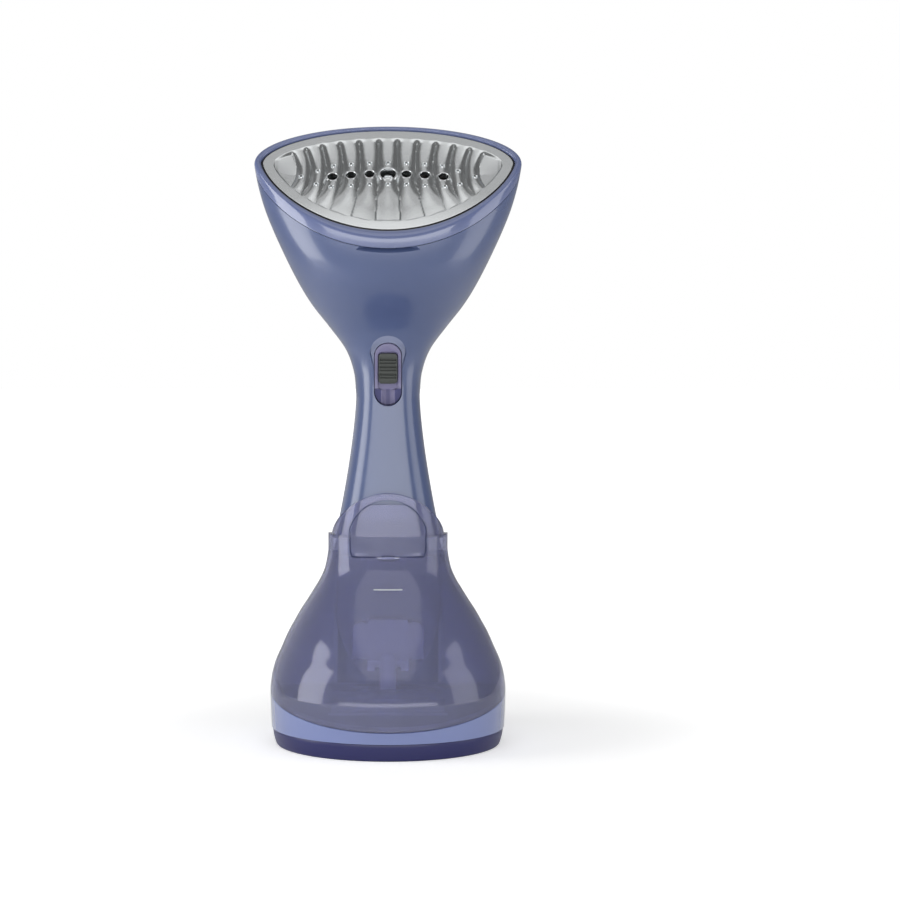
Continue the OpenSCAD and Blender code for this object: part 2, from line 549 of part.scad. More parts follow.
// Ribbed lock that slides on the trigger
module lock_slider() {
  color([0.29, 0.3, 0.28]) at_trigger() translate([0, lock_mid, 0]) difference() {
    union() {
      translate([0, 0, -2.4]) linear_extrude(height = 1.1) rounded(lock_width + 1.2, lock_length + 1.2, 2);
      translate([0, 0, -2]) linear_extrude(height = 3.6) rounded(lock_width, lock_length, 1.8);
      for (i = [-1, 0, 1]) translate([-lock_width / 2 + 0.7, i * 3.95 - 0.45, 1]) cube([lock_width - 1.4, 0.9, 1.4]);
    }
    for (i = [-1, 0, 1], j = [-1, 1]) translate([-lock_width / 2 + 0.7, i * 3.95 + j * 0.85 - 0.4, 1]) cube([lock_width - 1.4, 0.8, 3]);
  }
}
module trigger_spring() {
  color(silver) at_trigger() translate([0, spring_y, seat_n]) coil(3.2, 0.35, trig_back - seat_n - 0.05, 4);
}
// Inner frame that holds the pump, the switch and the board
chassis_half = handle_half_width - wall - 0.25;
// Shelf across the housing, as deep as back
module shelf(z, back) {
  translate([0, 0, z]) linear_extrude(height = 2.4) union() {
    intersection() {
      polygon([for (a = arc_front) let (p = body_pt(shoulder_z, a, wall + 0.3, col_semi)) [p[0], p[1]]]);
      translate([-50, handle_y - 5]) square([100, 30]);
    }
    intersection() {
      polygon([for (a = arc_rear) let (p = rear_pt(z + 2.4, a, wall + 0.3)) [p[0], p[1] + 0.25]]);
      translate([-chassis_half, handle_y - 0.01]) square([2 * chassis_half, back - handle_y]);
    }
  }
}
module chassis() {
  color([0.25, 0.26, 0.28]) {
    difference() {
      union() {
        shelf(shelf_low, pump_y + 16);
        shelf(shelf_top, 90);
        for (i = [-1, 1]) translate([i * (chassis_half - 3) - 1.5, handle_y - 3, shelf_low]) cube([3, 5, shelf_top - shelf_low + 1]);
        // Plate behind the pump, for the board
        translate([-12, pump_y + 15.6, deck_z + 8]) cube([24, 2.4, 44]);
        // Arm up the handle to the trigger
        translate([-6, handle_y - 5, shelf_top]) cube([12, 3, neck_z + 27 - shelf_top]);
      }
      translate([0, pump_y, 0]) cylinder(r = 8.2, h = 140);
      at_trigger() translate([-3.4, switch_y - 7.7, -30]) cube([6.8, 15.4, 40]);
      at_trigger() translate([-20, -20, seat_n]) cube([40, 40, 40]);
    }
    at_trigger() translate([-6, spring_y - 4.5, seat_n - 5]) difference() {
      cube([12, 9, 5]);
      translate([6, 4.5, 4.4]) cylinder(r = 1.2, h = 3);
    }
    for (i = [-1, 1], z = [5, 31]) translate([i * 9, pump_y + 17.9, deck_z + 6 + z]) rotate([-90, 0, 0]) cylinder(r = 2, h = 3.1);
  }
}
shelf_low = deck_z + 27;
shelf_top = ceiling_z - 4;
switch_h = 5.6;
module micro_switch() {
  color(dark) at_trigger() difference() {
    translate([-3.2, switch_y - 7.5, seat_n - switch_h]) cube([6.4, 15, switch_h]);
    translate([0, switch_y, seat_n - 4.7]) cylinder(r = 1.5, h = 20);
  }
}
module switch_plunger() {
  color([0.85, 0.2, 0.15]) at_trigger() translate([0, switch_y, seat_n - 1.2]) cylinder(r = 1.2, h = 4.7);
}

// ================= Water path =================
module pump_coil() {
  color([0.55, 0.3, 0.15]) translate([0, pump_y, shelf_low + 2.5]) difference() {
    cylinder(r = coil_r, h = shelf_top - 0.1 - shelf_low - 2.5);
    translate([0, 0, -1]) cylinder(r = 8.1, h = 60);
  }
}
module pump_body() {
  color([0.8, 0.8, 0.78]) translate([0, pump_y, 0]) difference() {
    union() {
      translate([0, 0, pump_low + 6]) cylinder(r = 8, h = pump_top - 8 - pump_low - 6);
      translate([0, 0, pump_low]) cylinder(r = 2.45, h = 8);
      translate([0, 0, pump_top - 9]) cylinder(r = 2.45, h = 9);
    }
    translate([0, 0, pump_low - 1]) cylinder(r = 1.4, h = pump_top - pump_low + 2);
  }
}
inlet_n = chamber_low - 17;
// Head end of the outlet hose, as [y, z]
hose_end = let (n = inlet_n + 8) [chord_y + element_v * cos(plate_tilt) - n * sin(plate_tilt), chord_z + element_v * sin(plate_tilt) + n * cos(plate_tilt)];
bend_r = 22;
hose_len = (pump_y - hose_end[0] - bend_r * (1 - cos(plate_tilt))) / sin(plate_tilt);
hose_turn_z = hose_end[1] - hose_len * cos(plate_tilt) - bend_r * sin(plate_tilt);
function hose_at(u) = u < 0 ? [pump_y, pump_top - 7, 0]
  : u > 1 ? [hose_end[0], hose_end[1], plate_tilt]
  : [pump_y - bend_r * (1 - cos(u * plate_tilt)), hose_turn_z + bend_r * sin(u * plate_tilt), u * plate_tilt];
function hose_ring(c, r) = [for (j = [0:17]) let (a = 20 * j, s = r * sin(a)) [r * cos(a), c[0] + s * cos(c[2]), c[1] + s * sin(c[2])]];
module outlet_hose() {
  steps = [-1, 0, 1 / 7, 2 / 7, 3 / 7, 4 / 7, 5 / 7, 6 / 7, 1, 2];
  color([0.85, 0.87, 0.88]) skin([for (u = steps) hose_ring(hose_at(u), hose_r)], [for (u = steps) hose_ring(hose_at(u), hose_bore)], wrap = true);
}
in_z = 11;
in_r = 9;
module inlet_tube(r) {
  translate([0, dock_y + in_r, in_z + in_r]) rotate([90, 0, 90]) rotate([0, 0, 180]) rotate_extrude(angle = 90) translate([in_r, 0]) circle(r = r);
  translate([0, dock_y + in_r, in_z]) rotate([-90, 0, 0]) cylinder(r = r, h = pump_y - dock_y - 2 * in_r);
  translate([0, pump_y - in_r, in_z + in_r]) rotate([90, 0, 90]) rotate([0, 0, 270]) rotate_extrude(angle = 90) translate([in_r, 0]) circle(r = r);
  translate([0, pump_y, in_z + in_r]) cylinder(r = r, h = pump_low + 6 - in_z - in_r);
}
module inlet_hose() {
  color([0.85, 0.87, 0.88]) difference() {
    inlet_tube(hose_r);
    inlet_tube(hose_bore);
  }
}
module clip_ring() { difference() { cylinder(r = hose_r + 0.9, h = 3); translate([0, 0, -1]) cylinder(r = hose_r + 0.02, h = 5); } }
module hose_clips() {
  color(silver) {
    translate([0, pump_y, pump_low + 2]) clip_ring();
    translate([0, pump_y, pump_top - 5]) clip_ring();
    at_plate() translate([0, element_v, inlet_n + 2.5]) clip_ring();
  }
}
module control_board() {
  color([0.1, 0.35, 0.2]) translate([0, pump_y + 21.1, deck_z + 6]) difference() {
    union() {
      translate([-16, 0, 0]) cube([32, 1.6, 36]);
      translate([-12, 1.5, 20]) cube([11, 6, 9]);
      translate([6, 1.5, 22]) rotate([-90, 0, 0]) cylinder(r = 4, h = 6.5);
      translate([-10, 1.5, 7]) cube([18, 4.5, 10]);
    }
    for (i = [-1, 1], z = [5, 31]) translate([i * 9, -1, z]) rotate([-90, 0, 0]) cylinder(r = 1.2, h = 4);
  }
}

// ================= Tank =================
function deck_hit(a, inset, k = 4, z = 24) = k == 0 ? z : deck_hit(a, inset, k - 1, deck(bell_pt(z, a, inset)[1] - tank_gap) + tank_gap);
function tab_at(z, a, off) = z > shoulder_z ? body_pt(z, a, -off)
  : let (p = body_pt(shoulder_z, a, -off)) [p[0], p[1] + (split_y(z) - handle_y) * pow(cos(a), 2), z];
function arch(a) = let (x = pw(cos(a), ex_handle)) shoulder_z + 0.6 + (tab_rise - 0.6) * sqrt(max(0, 1 - x * x));
tank_rows = 13;
tank_top = ceiling_z - tank_wall;
function up(z0, z1, i, n) = z0 + (z1 - z0) * i / n;
module in_tank_place() { translate([0, -tank_gap, 0]) children(); }
// Clear outer skin of the tank, with its shoulders and the arched tab
module tank_shell() {
  cols_a = arc_front;
  color(clear_violet) in_tank_place() difference() {
    skin(concat(
      [for (i = [0:tank_rows]) [for (a = cols_a) bell_pt(up(deck_hit(a, 0), tank_top, i, tank_rows), a)]],
      [for (z = [ceiling_z + 4, shoulder_z]) [for (a = cols_a) bell_pt(z, a)]],
      [for (f = [0, 0.5, 1]) [for (a = cols_a) tab_at(up(shoulder_z, arch(a), f, 1), a, tank_gap + tank_wall)]]),
      concat(
      [for (i = [0:tank_rows]) [for (a = cols_a) bell_pt(up(deck_hit(a, tank_wall), tank_top, i, tank_rows), a, tank_wall)]],
      [for (z = [tank_top + 0.3, shoulder_z - 6, shoulder_z - 2]) [for (a = cols_a) tab_at(z, a, tank_gap)]],
      [for (f = [0.5, 1]) [for (a = cols_a) tab_at(up(shoulder_z, arch(a), f, 1), a, tank_gap)]]));
    flap_outline(0.35, 60);
    // Room for the eye of the flap, and the bores of its pin
    translate([-3.9, flap_pin_y, flap_pin_z]) rotate([0, 90, 0]) cylinder(r = eye_r + 0.2, h = 7.8);
    translate([-6.3, flap_pin_y, flap_pin_z]) rotate([0, 90, 0]) cylinder(r = 0.9, h = 12.6);
  }
}
eye_r = 1.6;
flap_low = ceiling_z + 0.8;
module flap_outline(grow, depth) {
  r = flap_half_width * 1.12;
  translate([0, handle_y - 18 + depth / 2 - 30, flap_low]) rotate([90, 0, 0]) linear_extrude(height = depth, center = true) intersection() {
    translate([-flap_half_width - grow, -grow]) square([2 * (flap_half_width + grow), flap_height + 2 * grow]);
    translate([0, flap_height - r]) circle(r = r + grow);
  }
}
// Arched flap that the water is poured in behind
module filler_flap() {
  zs = [for (i = [0:8]) flap_low - 2 + (flap_height + 4) * i / 8];
  aa = [for (j = [0:14]) 218 + 104 * j / 14];
  color(clear_violet) in_tank_place() difference() {
    union() {
      intersection() {
        skin([for (z = zs) [for (a = aa) tab_at(z, a, tank_gap + tank_wall)]], [for (z = zs) [for (a = aa) tab_at(z, a, tank_gap)]]);
        flap_outline(-0.15, 60);
      }
      // Hinge eye
      translate([-3.5, flap_pin_y, flap_pin_z]) rotate([0, 90, 0]) cylinder(r = eye_r, h = 7);
    }
    translate([-10, flap_pin_y, flap_pin_z]) rotate([0, 90, 0]) cylinder(r = 0.9, h = 20);
  }
}
flap_pin_y = handle_y - handle_half_depth - tank_gap - tank_wall - 0.4;
flap_pin_z = ceiling_z;
module flap_pin() {
  color(silver) in_tank_place() translate([-6, flap_pin_y, flap_pin_z]) rotate([0, 90, 0]) cylinder(r = 0.85, h = 12);
}
off_in = tank_gap + 0.15;
function col_out(off) = [for (a = arc_front) let (p = body_pt(shoulder_z, a, -off, col_semi)) [p[0], p[1]]];
function widen(L, d) = concat([[L[0][0], L[0][1] + d]], L, [[L[len(L) - 1][0], L[len(L) - 1][1] + d]]);
// Back wall round the column, back wings, floor and ceiling of the tank
module tank_back() {
  t = tank_wall;
  color(clear_violet) in_tank_place() difference() {
    union() {
      translate([0, 0, deck_z - 22]) linear_extrude(height = tank_top + 0.01 - deck_z + 22) polygon(widen(col_out(off_in + t), 6));
      for (i = [-1, 1]) tank_wing(i);
      tank_floor(t);
      translate([0, 0, tank_top]) linear_extrude(height = t) polygon([for (a = arc_front) let (p = body_pt(shoulder_z, a, -tank_gap + 0.12)) [p[0], p[1]]]);
      // Steps of the floor over the dock
      at_deck() translate([-31, -44, tank_gap]) cube([62, 24, t + 1.6]);
      at_deck() translate([-29.5, -42.5, tank_gap]) cube([59, 22.5, t + 4.6]);
    }
    translate([0, 0, -20]) linear_extrude(height = 200) polygon(widen(col_out(off_in), 20));
    at_deck() translate([-90, -90, -60]) cube([180, 180, 60 + tank_gap]);
    // Everything stays in front of the plane where tank and housing meet
    translate([0, 0, deck_z]) rotate([-lean, 0, 0]) translate([-90, 0, -60]) cube([180, 90, 200]);
    // Mouth of the filler
    translate([-15, handle_y - handle_half_depth + 3.05, tank_top - 5]) cube([30, 4.9, 12]);
    // Hole for the valve's tube
    translate([0, dock_y + tank_gap, 0]) cylinder(r = tube_r + 0.1, h = 60);
  }
}
module at_deck() { translate([0, 0, deck_z]) rotate([deck_slope, 0, 0]) children(); }
module tank_floor(t) {
  intersection() {
    linear_extrude(height = deck_z + 9) polygon([for (a = arc_front) let (p = bell_pt(deck_hit(a, t + 0.25), a, t + 0.25)) [p[0], p[1]]]);
    at_deck() translate([-90, -90, tank_gap]) cube([180, 180, t]);
  }
}
module tank_wing(side) {
  zs = [for (i = [0:tank_rows]) up(deck_hit(180, tank_wall), tank_top, i, tank_rows)];
  pts = concat([for (z = zs) [side * (bell_w(z) - tank_wall - 0.3), (z - deck_z) / cos(lean)]],
    [[side * (handle_half_width + off_in + 0.5), (tank_top - deck_z) / cos(lean)], [side * (handle_half_width + off_in + 0.5), 0]]);
  translate([0, 0, deck_z]) rotate([90 - lean, 0, 0]) linear_extrude(height = tank_wall) polygon(pts);
}
tube_r = 4.4;
valve_low = deck(dock_y) + 0.9;
valve_top = deck_z + 16;
// Arched housing of the valve, with its tube and the cone that seats in the dock
module valve_housing() {
  front = handle_y - col_semi - off_in - tank_wall - tank_gap - 0.1;
  color([0.62, 0.6, 0.74]) difference() {
    union() {
      translate([-11.2, front - 7, deck_z + 11.5]) cube([22.4, 7, 22]);
      translate([0, front, deck_z + 33]) rotate([90, 0, 0]) linear_extrude(height = 7) intersection() { circle(r = 11.2); translate([-20, 0]) square([40, 4]); }
      for (i = [-1, 1]) translate([i * 14.5 - 4.5, front - 4.5, deck_z + 15.5]) cube([9, 4.5, 15]);
      for (i = [-1, 1]) translate([i * 14, front, deck_z + 30.4]) rotate([90, 0, 0]) cylinder(r = 5, h = 4.5);
      // Tube, dome and lugs
      translate([0, dock_y, valve_low - 2.6]) cylinder(r1 = 3.2, r2 = tube_r, h = 1.1);
      translate([0, dock_y, valve_low - 1.5]) cylinder(r = tube_r, h = valve_top - valve_low + 1.5);
      translate([0, dock_y, valve_top]) sphere(r = tube_r);
      for (i = [-1, 1]) translate([i * 9 - 2, dock_y - 1.5, valve_top - 5]) cube([4, front - dock_y, 5]);
      translate([-9, dock_y - 1.5, valve_top - 2.5]) cube([18, 3, 2.5]);
    }
    translate([0, dock_y, valve_low - 5]) cylinder(r = 1.8, h = 10);
    translate([0, dock_y, valve_low + 1.4]) cylinder(r = 3.2, h = valve_top - valve_low - 1.4);
    // Ports that let the water in
    translate([-8, dock_y, valve_low + 6]) rotate([0, 90, 0]) cylinder(r = 1.3, h = 16);
  }
}
module valve_poppet() {
  color(dark) translate([0, dock_y, 0]) union() {
    translate([0, 0, valve_low + 1.7]) cylinder(r = 2.8, h = 2);
    translate([0, 0, valve_low - 1.6]) cylinder(r = 1.3, h = 9);
  }
}
module valve_spring() {
  color(silver) translate([0, dock_y, valve_low + 3.75]) coil(2.3, 0.3, valve_top - valve_low - 3.8, 6);
}

// ================= Base =================
// Soft cup that the tank's cone rests in
module dock_seal() {
  color([0.25, 0.25, 0.28]) difference() {
    translate([0, dock_y, deck(dock_y) - 6.5]) cylinder(r = 8, h = 9);
    at_deck() translate([-20, -40, -0.4]) cube([40, 50, 20]);
    translate([0, dock_y, valve_low - 2.6]) cylinder(r1 = 3.8, r2 = 3.8 + 8 * 1.35, h = 8);
    translate([0, dock_y, 0]) cylinder(r = 2.2, h = 60);
  }
}
ring_cols = [for (j = [0:47]) 360 * j / 48];
function ring_top(a, inset) = sin(a) >= 0 ? deck_z : ring_hit(a, inset);
function ring_hit(a, inset, k = 4, z = 24) = k == 0 ? z : ring_hit(a, inset, k - 1, deck(bell_pt(z, a, inset)[1]));
base_wall = 2.6;
// Band of the base with the deck that the tank stands on
module base_shell() {
  color([0.55, 0.6, 0.76]) difference() {
    union() {
      skin([for (i = [0:3]) [for (a = ring_cols) bell_pt(up(foot_z + 0.2, ring_top(a, 0), i, 3), a)]],
        [for (i = [0:3]) [for (a = ring_cols) bell_pt(up(foot_z + 0.2, ring_top(a, 0), i, 3), a, base_wall)]], wrap = true);
      // Deck
      at_deck() translate([0, 0, -2.4]) linear_extrude(height = 2.4)
        polygon([for (a = arc_front) let (p = bell_pt(ring_hit(a, 1), a, 1)) [p[0], p[1] / cos(deck_slope)]]);
      // Socket of the dock
      translate([0, dock_y, deck(dock_y) - 9]) cylinder(r = 10, h = 6.4);
      // Posts that take the screws of the foot
      at_posts([40, 140]) translate([0, 0, foot_z + 0.2]) cylinder(r = 3.6, h = deck_z - foot_z - 4);
      at_posts([220, 320]) translate([0, 0, foot_z + 0.2]) cylinder(r = 3.6, h = deck_z - foot_z - 13);
      at_posts(posts) translate([0, -1, foot_z + 3]) cube([7, 2, 5]);
    }
    translate([0, dock_y, deck(dock_y) - 6.5]) cylinder(r = 8.1, h = 12);
    translate([0, dock_y, 0]) cylinder(r = hose_r + 1.3, h = 60);
    at_posts(posts) cylinder(r = 1.5, h = foot_z + 7);
    // Notch for the column
    translate([-handle_half_width - 0.5, handle_y - col_semi - 1.2, deck_z - 8]) cube([2 * handle_half_width + 1, 20, 20]);
  }
}
foot_ring = [[0, 3.2], [1.2, 2.2], [5, 1.1], [9, 0.6]];
module base_foot() {
  color(navy) difference() {
    stack([for (r = foot_ring) [for (a = ring_cols) let (p = bell_pt(foot_z, a, r[1])) [p[0], p[1], r[0] * foot_z / 9]]]);
    translate([0, 0, 2.4]) linear_extrude(height = 20) difference() {
      polygon([for (a = ring_cols) let (p = bell_pt(foot_z, a, 4.4)) [p[0], p[1]]]);
      at_posts(posts) circle(r = 4.4);
    }
    at_posts(posts) {
      translate([0, 0, -1]) cylinder(r = 1.8, h = 20);
      translate([0, 0, -1]) cylinder(r = 3.2, h = 4);
    }
    at_posts(pad_at, 7) translate([0, 0, -1]) cylinder(r = pad_r + 0.1, h = 2.2);
  }
}
pad_at = [65, 115, 245, 295];
pad_r = 5;
module foot_pads() {
  color(dark) at_posts(pad_at, 7) cylinder(r = pad_r, h = 1.2);
}
module base_screws() {
  color(silver) at_posts(posts) translate([0, 0, 1]) difference() {
    union() {
      cylinder(r = 2.9, h = 2);
      cylinder(r = 1.45, h = foot_z + 5);
    }
    translate([0, 0, -1]) cylinder(r = 1.2, h = 2, $fn = 6);
  }
}
module shell_screws() {
  color(silver) for (p = screw_at, i = [-1, 1]) translate([i * p[0], handle_y, p[1]]) rotate([-90, 0, 0]) difference() {
    union() {
      translate([0, 0, -5]) cylinder(r = screw_r - 0.05, h = 9.5);
      translate([0, 0, 4.25]) cylinder(r = 2.75, h = 2.2);
    }
    translate([0, 0, 5.4]) cylinder(r = 1.2, h = 2, $fn = 6);
  }
}
// Bush in the hole for the cord
module cord_gland() {
  color(dark) translate([0, 0, gland_z]) rotate([-90, 0, 0]) difference() {
    union() {
      translate([0, 0, gland_y]) cylinder(r = gland_r - 0.1, h = 10);
      translate([0, 0, gland_y]) cylinder(r = gland_r + 1.6, h = 2.1);
      translate([0, 0, gland_y + 7.75]) cylinder(r = gland_r + 1.6, h = 2.3);
    }
    translate([0, 0, gland_y - 1]) cylinder(r = 3.2, h = 30);
  }
}
gland_y = base_half_depth - 7;

front_shell();
rear_shell();
head_bezel();
plate_seal();
soleplate();
chamber_gasket();
steam_chamber();
heating_element();
insulating_tray();
tray_screws();
thermostat();
thermal_fuse();
steam_inlet();
trigger();
lock_slider();
trigger_spring();
chassis();
micro_switch();
switch_plunger();
pump_coil();
pump_body();
inlet_hose();
outlet_hose();
hose_clips();
control_board();
tank_shell();
tank_back();
filler_flap();
flap_pin();
valve_housing();
valve_poppet();
valve_spring();
dock_seal();
base_shell();
base_foot();
foot_pads();
base_screws();
shell_screws();
cord_gland();
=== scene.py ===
# %% [markdown]
# # A garment steamer
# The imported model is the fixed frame: it holds every piece of the steamer at its true size and place.
# This lesson dresses that frame. Pieces whose CAD faces are flat facets are modelled again as smooth sheets,
# the small machined pieces are copied and given soft edges, and each piece gets a finish of its own.

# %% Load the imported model
import bpy
import json
import math
from mathutils import Matrix, Vector

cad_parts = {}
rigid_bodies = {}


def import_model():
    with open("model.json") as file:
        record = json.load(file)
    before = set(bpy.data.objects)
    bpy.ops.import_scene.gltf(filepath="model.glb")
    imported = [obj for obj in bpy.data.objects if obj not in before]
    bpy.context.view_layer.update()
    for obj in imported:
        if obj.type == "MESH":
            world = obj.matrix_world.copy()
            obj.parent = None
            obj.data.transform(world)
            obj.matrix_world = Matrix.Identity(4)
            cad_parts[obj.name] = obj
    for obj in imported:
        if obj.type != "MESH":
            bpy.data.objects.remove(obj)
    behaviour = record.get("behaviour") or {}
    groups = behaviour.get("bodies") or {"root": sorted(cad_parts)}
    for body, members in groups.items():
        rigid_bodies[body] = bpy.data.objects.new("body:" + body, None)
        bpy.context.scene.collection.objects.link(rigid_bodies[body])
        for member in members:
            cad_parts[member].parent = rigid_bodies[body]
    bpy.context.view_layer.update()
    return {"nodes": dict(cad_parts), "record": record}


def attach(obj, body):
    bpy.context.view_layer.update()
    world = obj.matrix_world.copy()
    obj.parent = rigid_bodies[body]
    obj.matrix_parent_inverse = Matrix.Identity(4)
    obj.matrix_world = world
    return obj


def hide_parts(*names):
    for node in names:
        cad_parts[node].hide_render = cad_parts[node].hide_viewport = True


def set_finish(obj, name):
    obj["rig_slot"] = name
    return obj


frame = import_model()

# %% [markdown]
# ## Camera
# A long lens keeps the steamer's sides almost parallel. It stands a little higher than the trigger and is
# tipped down by a few degrees, so that it looks onto the soleplate and onto the base.
# The camera comes first, because every later choice is judged through it.

# %% The camera
stand_back, stand_height, tipped_down = 1.2413, 0.2314, 3.35
focal_length, film_width, sideways_shift = 92.2, 36, 0.0689

lens_data = bpy.data.cameras.new("camera")
camera = bpy.data.objects.new("camera", lens_data)
bpy.context.scene.collection.objects.link(camera)
lens_data.sensor_width = film_width
lens_data.lens = focal_length
lens_data.shift_x = sideways_shift
lens_data.clip_end = 40
camera.location = (0, -stand_back, stand_height)
camera.rotation_euler = (math.radians(90 - tipped_down), 0, 0)
bpy.context.scene.camera = camera
print("camera at", tuple(round(v, 3) for v in camera.location))

# %% [markdown]
# ## The steamer's outline
# The housing is one long form whose sections change from a lens at the head to a rounded
# oblong at the handle. A short table of stations gives the width at each height, and a cubic curve runs
# smoothly through them, so that the sheets below can be as fine as they need to be.

# %% Curves through the stations
def clamp(x, a, b):
    return min(max(x, a), b)

def ease(x):
    """Rises from 0 to 1, and is level at both ends."""
    u = clamp(x, 0.0, 1.0)
    return u * u * (3 - 2 * u)

def power(x, e):
    """A power that keeps the sign; it makes a round section squarer or more pointed."""
    return 0.0 if abs(x) < 1e-9 else math.copysign(abs(x) ** e, x)

def curve(table, u):
    """A smooth curve through a table of (place, value) stations."""
    v = clamp(u, table[0][0], table[-1][0])
    i = 0
    while i < len(table) - 2 and v > table[i + 1][0]:
        i += 1
    def slope(k):
        a, b = max(k - 1, 0), min(k + 1, len(table) - 1)
        return (table[b][1] - table[a][1]) / (table[b][0] - table[a][0])
    h = table[i + 1][0] - table[i][0]
    t = (v - table[i][0]) / h
    return ((2 * t**3 - 3 * t**2 + 1) * table[i][1] + (t**3 - 2 * t**2 + t) * slope(i) * h
            + (3 * t**2 - 2 * t**3) * table[i + 1][1] + (t**3 - t**2) * slope(i + 1) * h)

flare = [(0, 0), (.1, .022), (.2, .102), (.3, .264), (.4, .438), (.5, .574), (.65, .74), (.8, .886),
         (.9, .955), (1, 1)]
front_flare = [(0, 0), (.1, 0), (.2, .03), (.3, .12), (.4, .26), (.5, .42), (.6, .57), (.7, .71),
               (.8, .83), (.9, .93), (1, 1)]
back_swell = [(0, 0), (.2, .06), (.4, .5), (.6, 1.25), (.7, 1.5), (.8, 1.55), (.9, 1.36), (1, 1)]
bell_table = [(0, 1), (.05, .999), (.15, .972), (.24, .91), (.33, .81), (.42, .71), (.5, .6), (.58, .484),
              (.65, .368), (.72, .257), (.79, .15), (.86, .07), (.93, .026), (1, 0)]
print("stations:", len(flare), "for the head,", len(bell_table), "for the bell")

# %% Sizes of the head, the handle and the bell, in millimetres
head_w, chord_z, chord_y, head_up, head_down, plate_tilt = 71.5, 312.4, -7.5, 27.7, 56.0, 48.0
neck_z, neck_w, neck_d = 188.0, 17.3, 19.5
handle_w, handle_d, handle_y, wall = 28.3, 22.0, 14.0, 2.4
shoulder_z, shoulder_w, tab_rise, ceiling_z, tank_wall, tank_gap = 113.0, 32.6, 23.0, 101.0, 2.0, 0.35
base_w, base_d, base_z, deck_z, deck_slope, foot_z = 63.7, 61.0, 26.0, 30.0, 13.5, 9.2
bell_top = shoulder_z - 9
col_semi, recess_top, recess_low = 11.0, shoulder_z + 10, ceiling_z + 1.5
seam_q = chord_z - 0.05 * (chord_z - neck_z)
skirt = handle_d + tank_wall + 2 * tank_gap + 0.2
side_power, rear_power, front_power = .84, .86, .78
print("head", 2 * head_w, "mm wide, neck", 2 * neck_w, "mm, base", 2 * base_w, "mm")

# %% Sections of the head and the handle
def up_share(q):
    return clamp((q - neck_z) / (chord_z - neck_z), 0, 1)

def down_share(q):
    return clamp((neck_z - q) / (neck_z - shoulder_z), 0, 1) ** 1.45

def mid_y(q):
    return handle_y if q <= neck_z else handle_y + (chord_y - handle_y) * ease(up_share(q))

def half(q, low, table, top, grow):
    """Half a width or a depth: low at the neck, top at the head and grow at the foot of the handle."""
    if q <= neck_z:
        return low + (grow - low) * down_share(q)
    return low + (top - low) * curve(table, up_share(q))

def body_point(q, a, inset=0.0, front=None):
    """A point of the housing at station q and angle a; the sections tilt with the head."""
    c, s = math.cos(a), math.sin(a)
    u = up_share(q)
    t = math.radians(plate_tilt) * ease(u)
    w = half(q, neck_w, flare, head_w, handle_w)
    f = half(q, neck_d, front_flare, head_down, handle_d) if front is None else front
    b = half(q, neck_d, back_swell, head_up, handle_d)
    e_side = side_power + .16 * u
    if s >= 0:
        v = (b - inset) * power(s, rear_power + .12 * u)
    else:
        v = (f - inset) * power(s, front_power + .72 * u)
    return Vector(((w - inset) * power(c, e_side), mid_y(q) + v * math.cos(t), q + v * math.sin(t)))

print("widest", round(2 * body_point(chord_z, 0).x, 1), "mm at the head,",
      round(2 * body_point(neck_z, 0).x, 1), "mm at the neck")

# %% Sections of the bell, round the tank and the base
def share(z):
    """How much of the base's width the bell has at a height; below the band it tucks in a little."""
    if z < base_z:
        return 1 - .045 * ((base_z - z) / base_z) ** 1.5
    return curve(bell_table, (z - base_z) / (bell_top - base_z))

def split_y(z):
    return handle_y * clamp((z - deck_z) / (bell_top - deck_z), 0, 1)

def deck(y):
    return deck_z + y * math.tan(math.radians(deck_slope))

def bell_point(z, a, inset=0.0):
    c, s, k = math.cos(a), math.sin(a), share(z)
    e = side_power + .16 * k
    w = shoulder_w + (base_w - shoulder_w) * k
    b = handle_d + (base_d - handle_d) * k if s >= 0 else skirt + (base_d - skirt) * k
    return Vector(((w - inset) * power(c, e), split_y(z) + (b - inset) * power(s, e), z))

def rear_point(z, a):
    """A point of the housing's back, which flows from the bell into the handle."""
    if z >= shoulder_z:
        return body_point(z, a)
    c, s, k = math.cos(a), math.sin(a), share(z)
    e, g = side_power + .16 * k, ease((z - (bell_top - 10)) / 19)
    w = shoulder_w + (base_w - shoulder_w) * k + (handle_w - shoulder_w) * g
    b = handle_d + (base_d - handle_d) * k
    x = w * power(c, e + (side_power - e) * g)
    return Vector((x, split_y(z) + b * power(s, e + (rear_power - e) * g), z))

def column_front(q):
    """The depth of the front; under the tank's tab the handle steps back to a slim column."""
    f = half(q, neck_d, front_flare, head_down, handle_d)
    return f + (col_semi - f) * ease((recess_top - q) / (recess_top - recess_low))

def front_point(q, a, inset=0.0):
    if q >= shoulder_z:
        return body_point(q, a, inset, column_front(q))
    p = body_point(shoulder_z, a, inset, column_front(q))
    return Vector((p.x, p.y, q))

print("the bell is", round(2 * bell_point(base_z, 0).x, 1), "mm wide at its foot")

# %% [markdown]
# ## Tools of the workshop
# A sheet starts as a flat grid of squares. Each of its points is then carried to its place on a section,
# as a sheet of clay is wrapped on a former. Solidify gives it a wall, and Bevel softens its edges.
# Holes and slots are cut with drums, capsules and boxes of the right size.

# %% Helpers for selecting, applying and finishing
MM = 0.001

def only(piece):
    """Selects one piece and nothing else, in object mode."""
    if bpy.context.object and bpy.context.object.mode != "OBJECT":
        bpy.ops.object.mode_set(mode="OBJECT")
    bpy.ops.object.select_all(action="DESELECT")
    piece.select_set(True)
    bpy.context.view_layer.objects.active = piece

def apply(piece, kind, **settings):
    """Adds a modifier and applies it at once."""
    only(piece)
    step = piece.modifiers.new("step", kind)
    for key, value in settings.items():
        setattr(step, key, value)
    bpy.ops.object.modifier_apply(modifier=step.name)

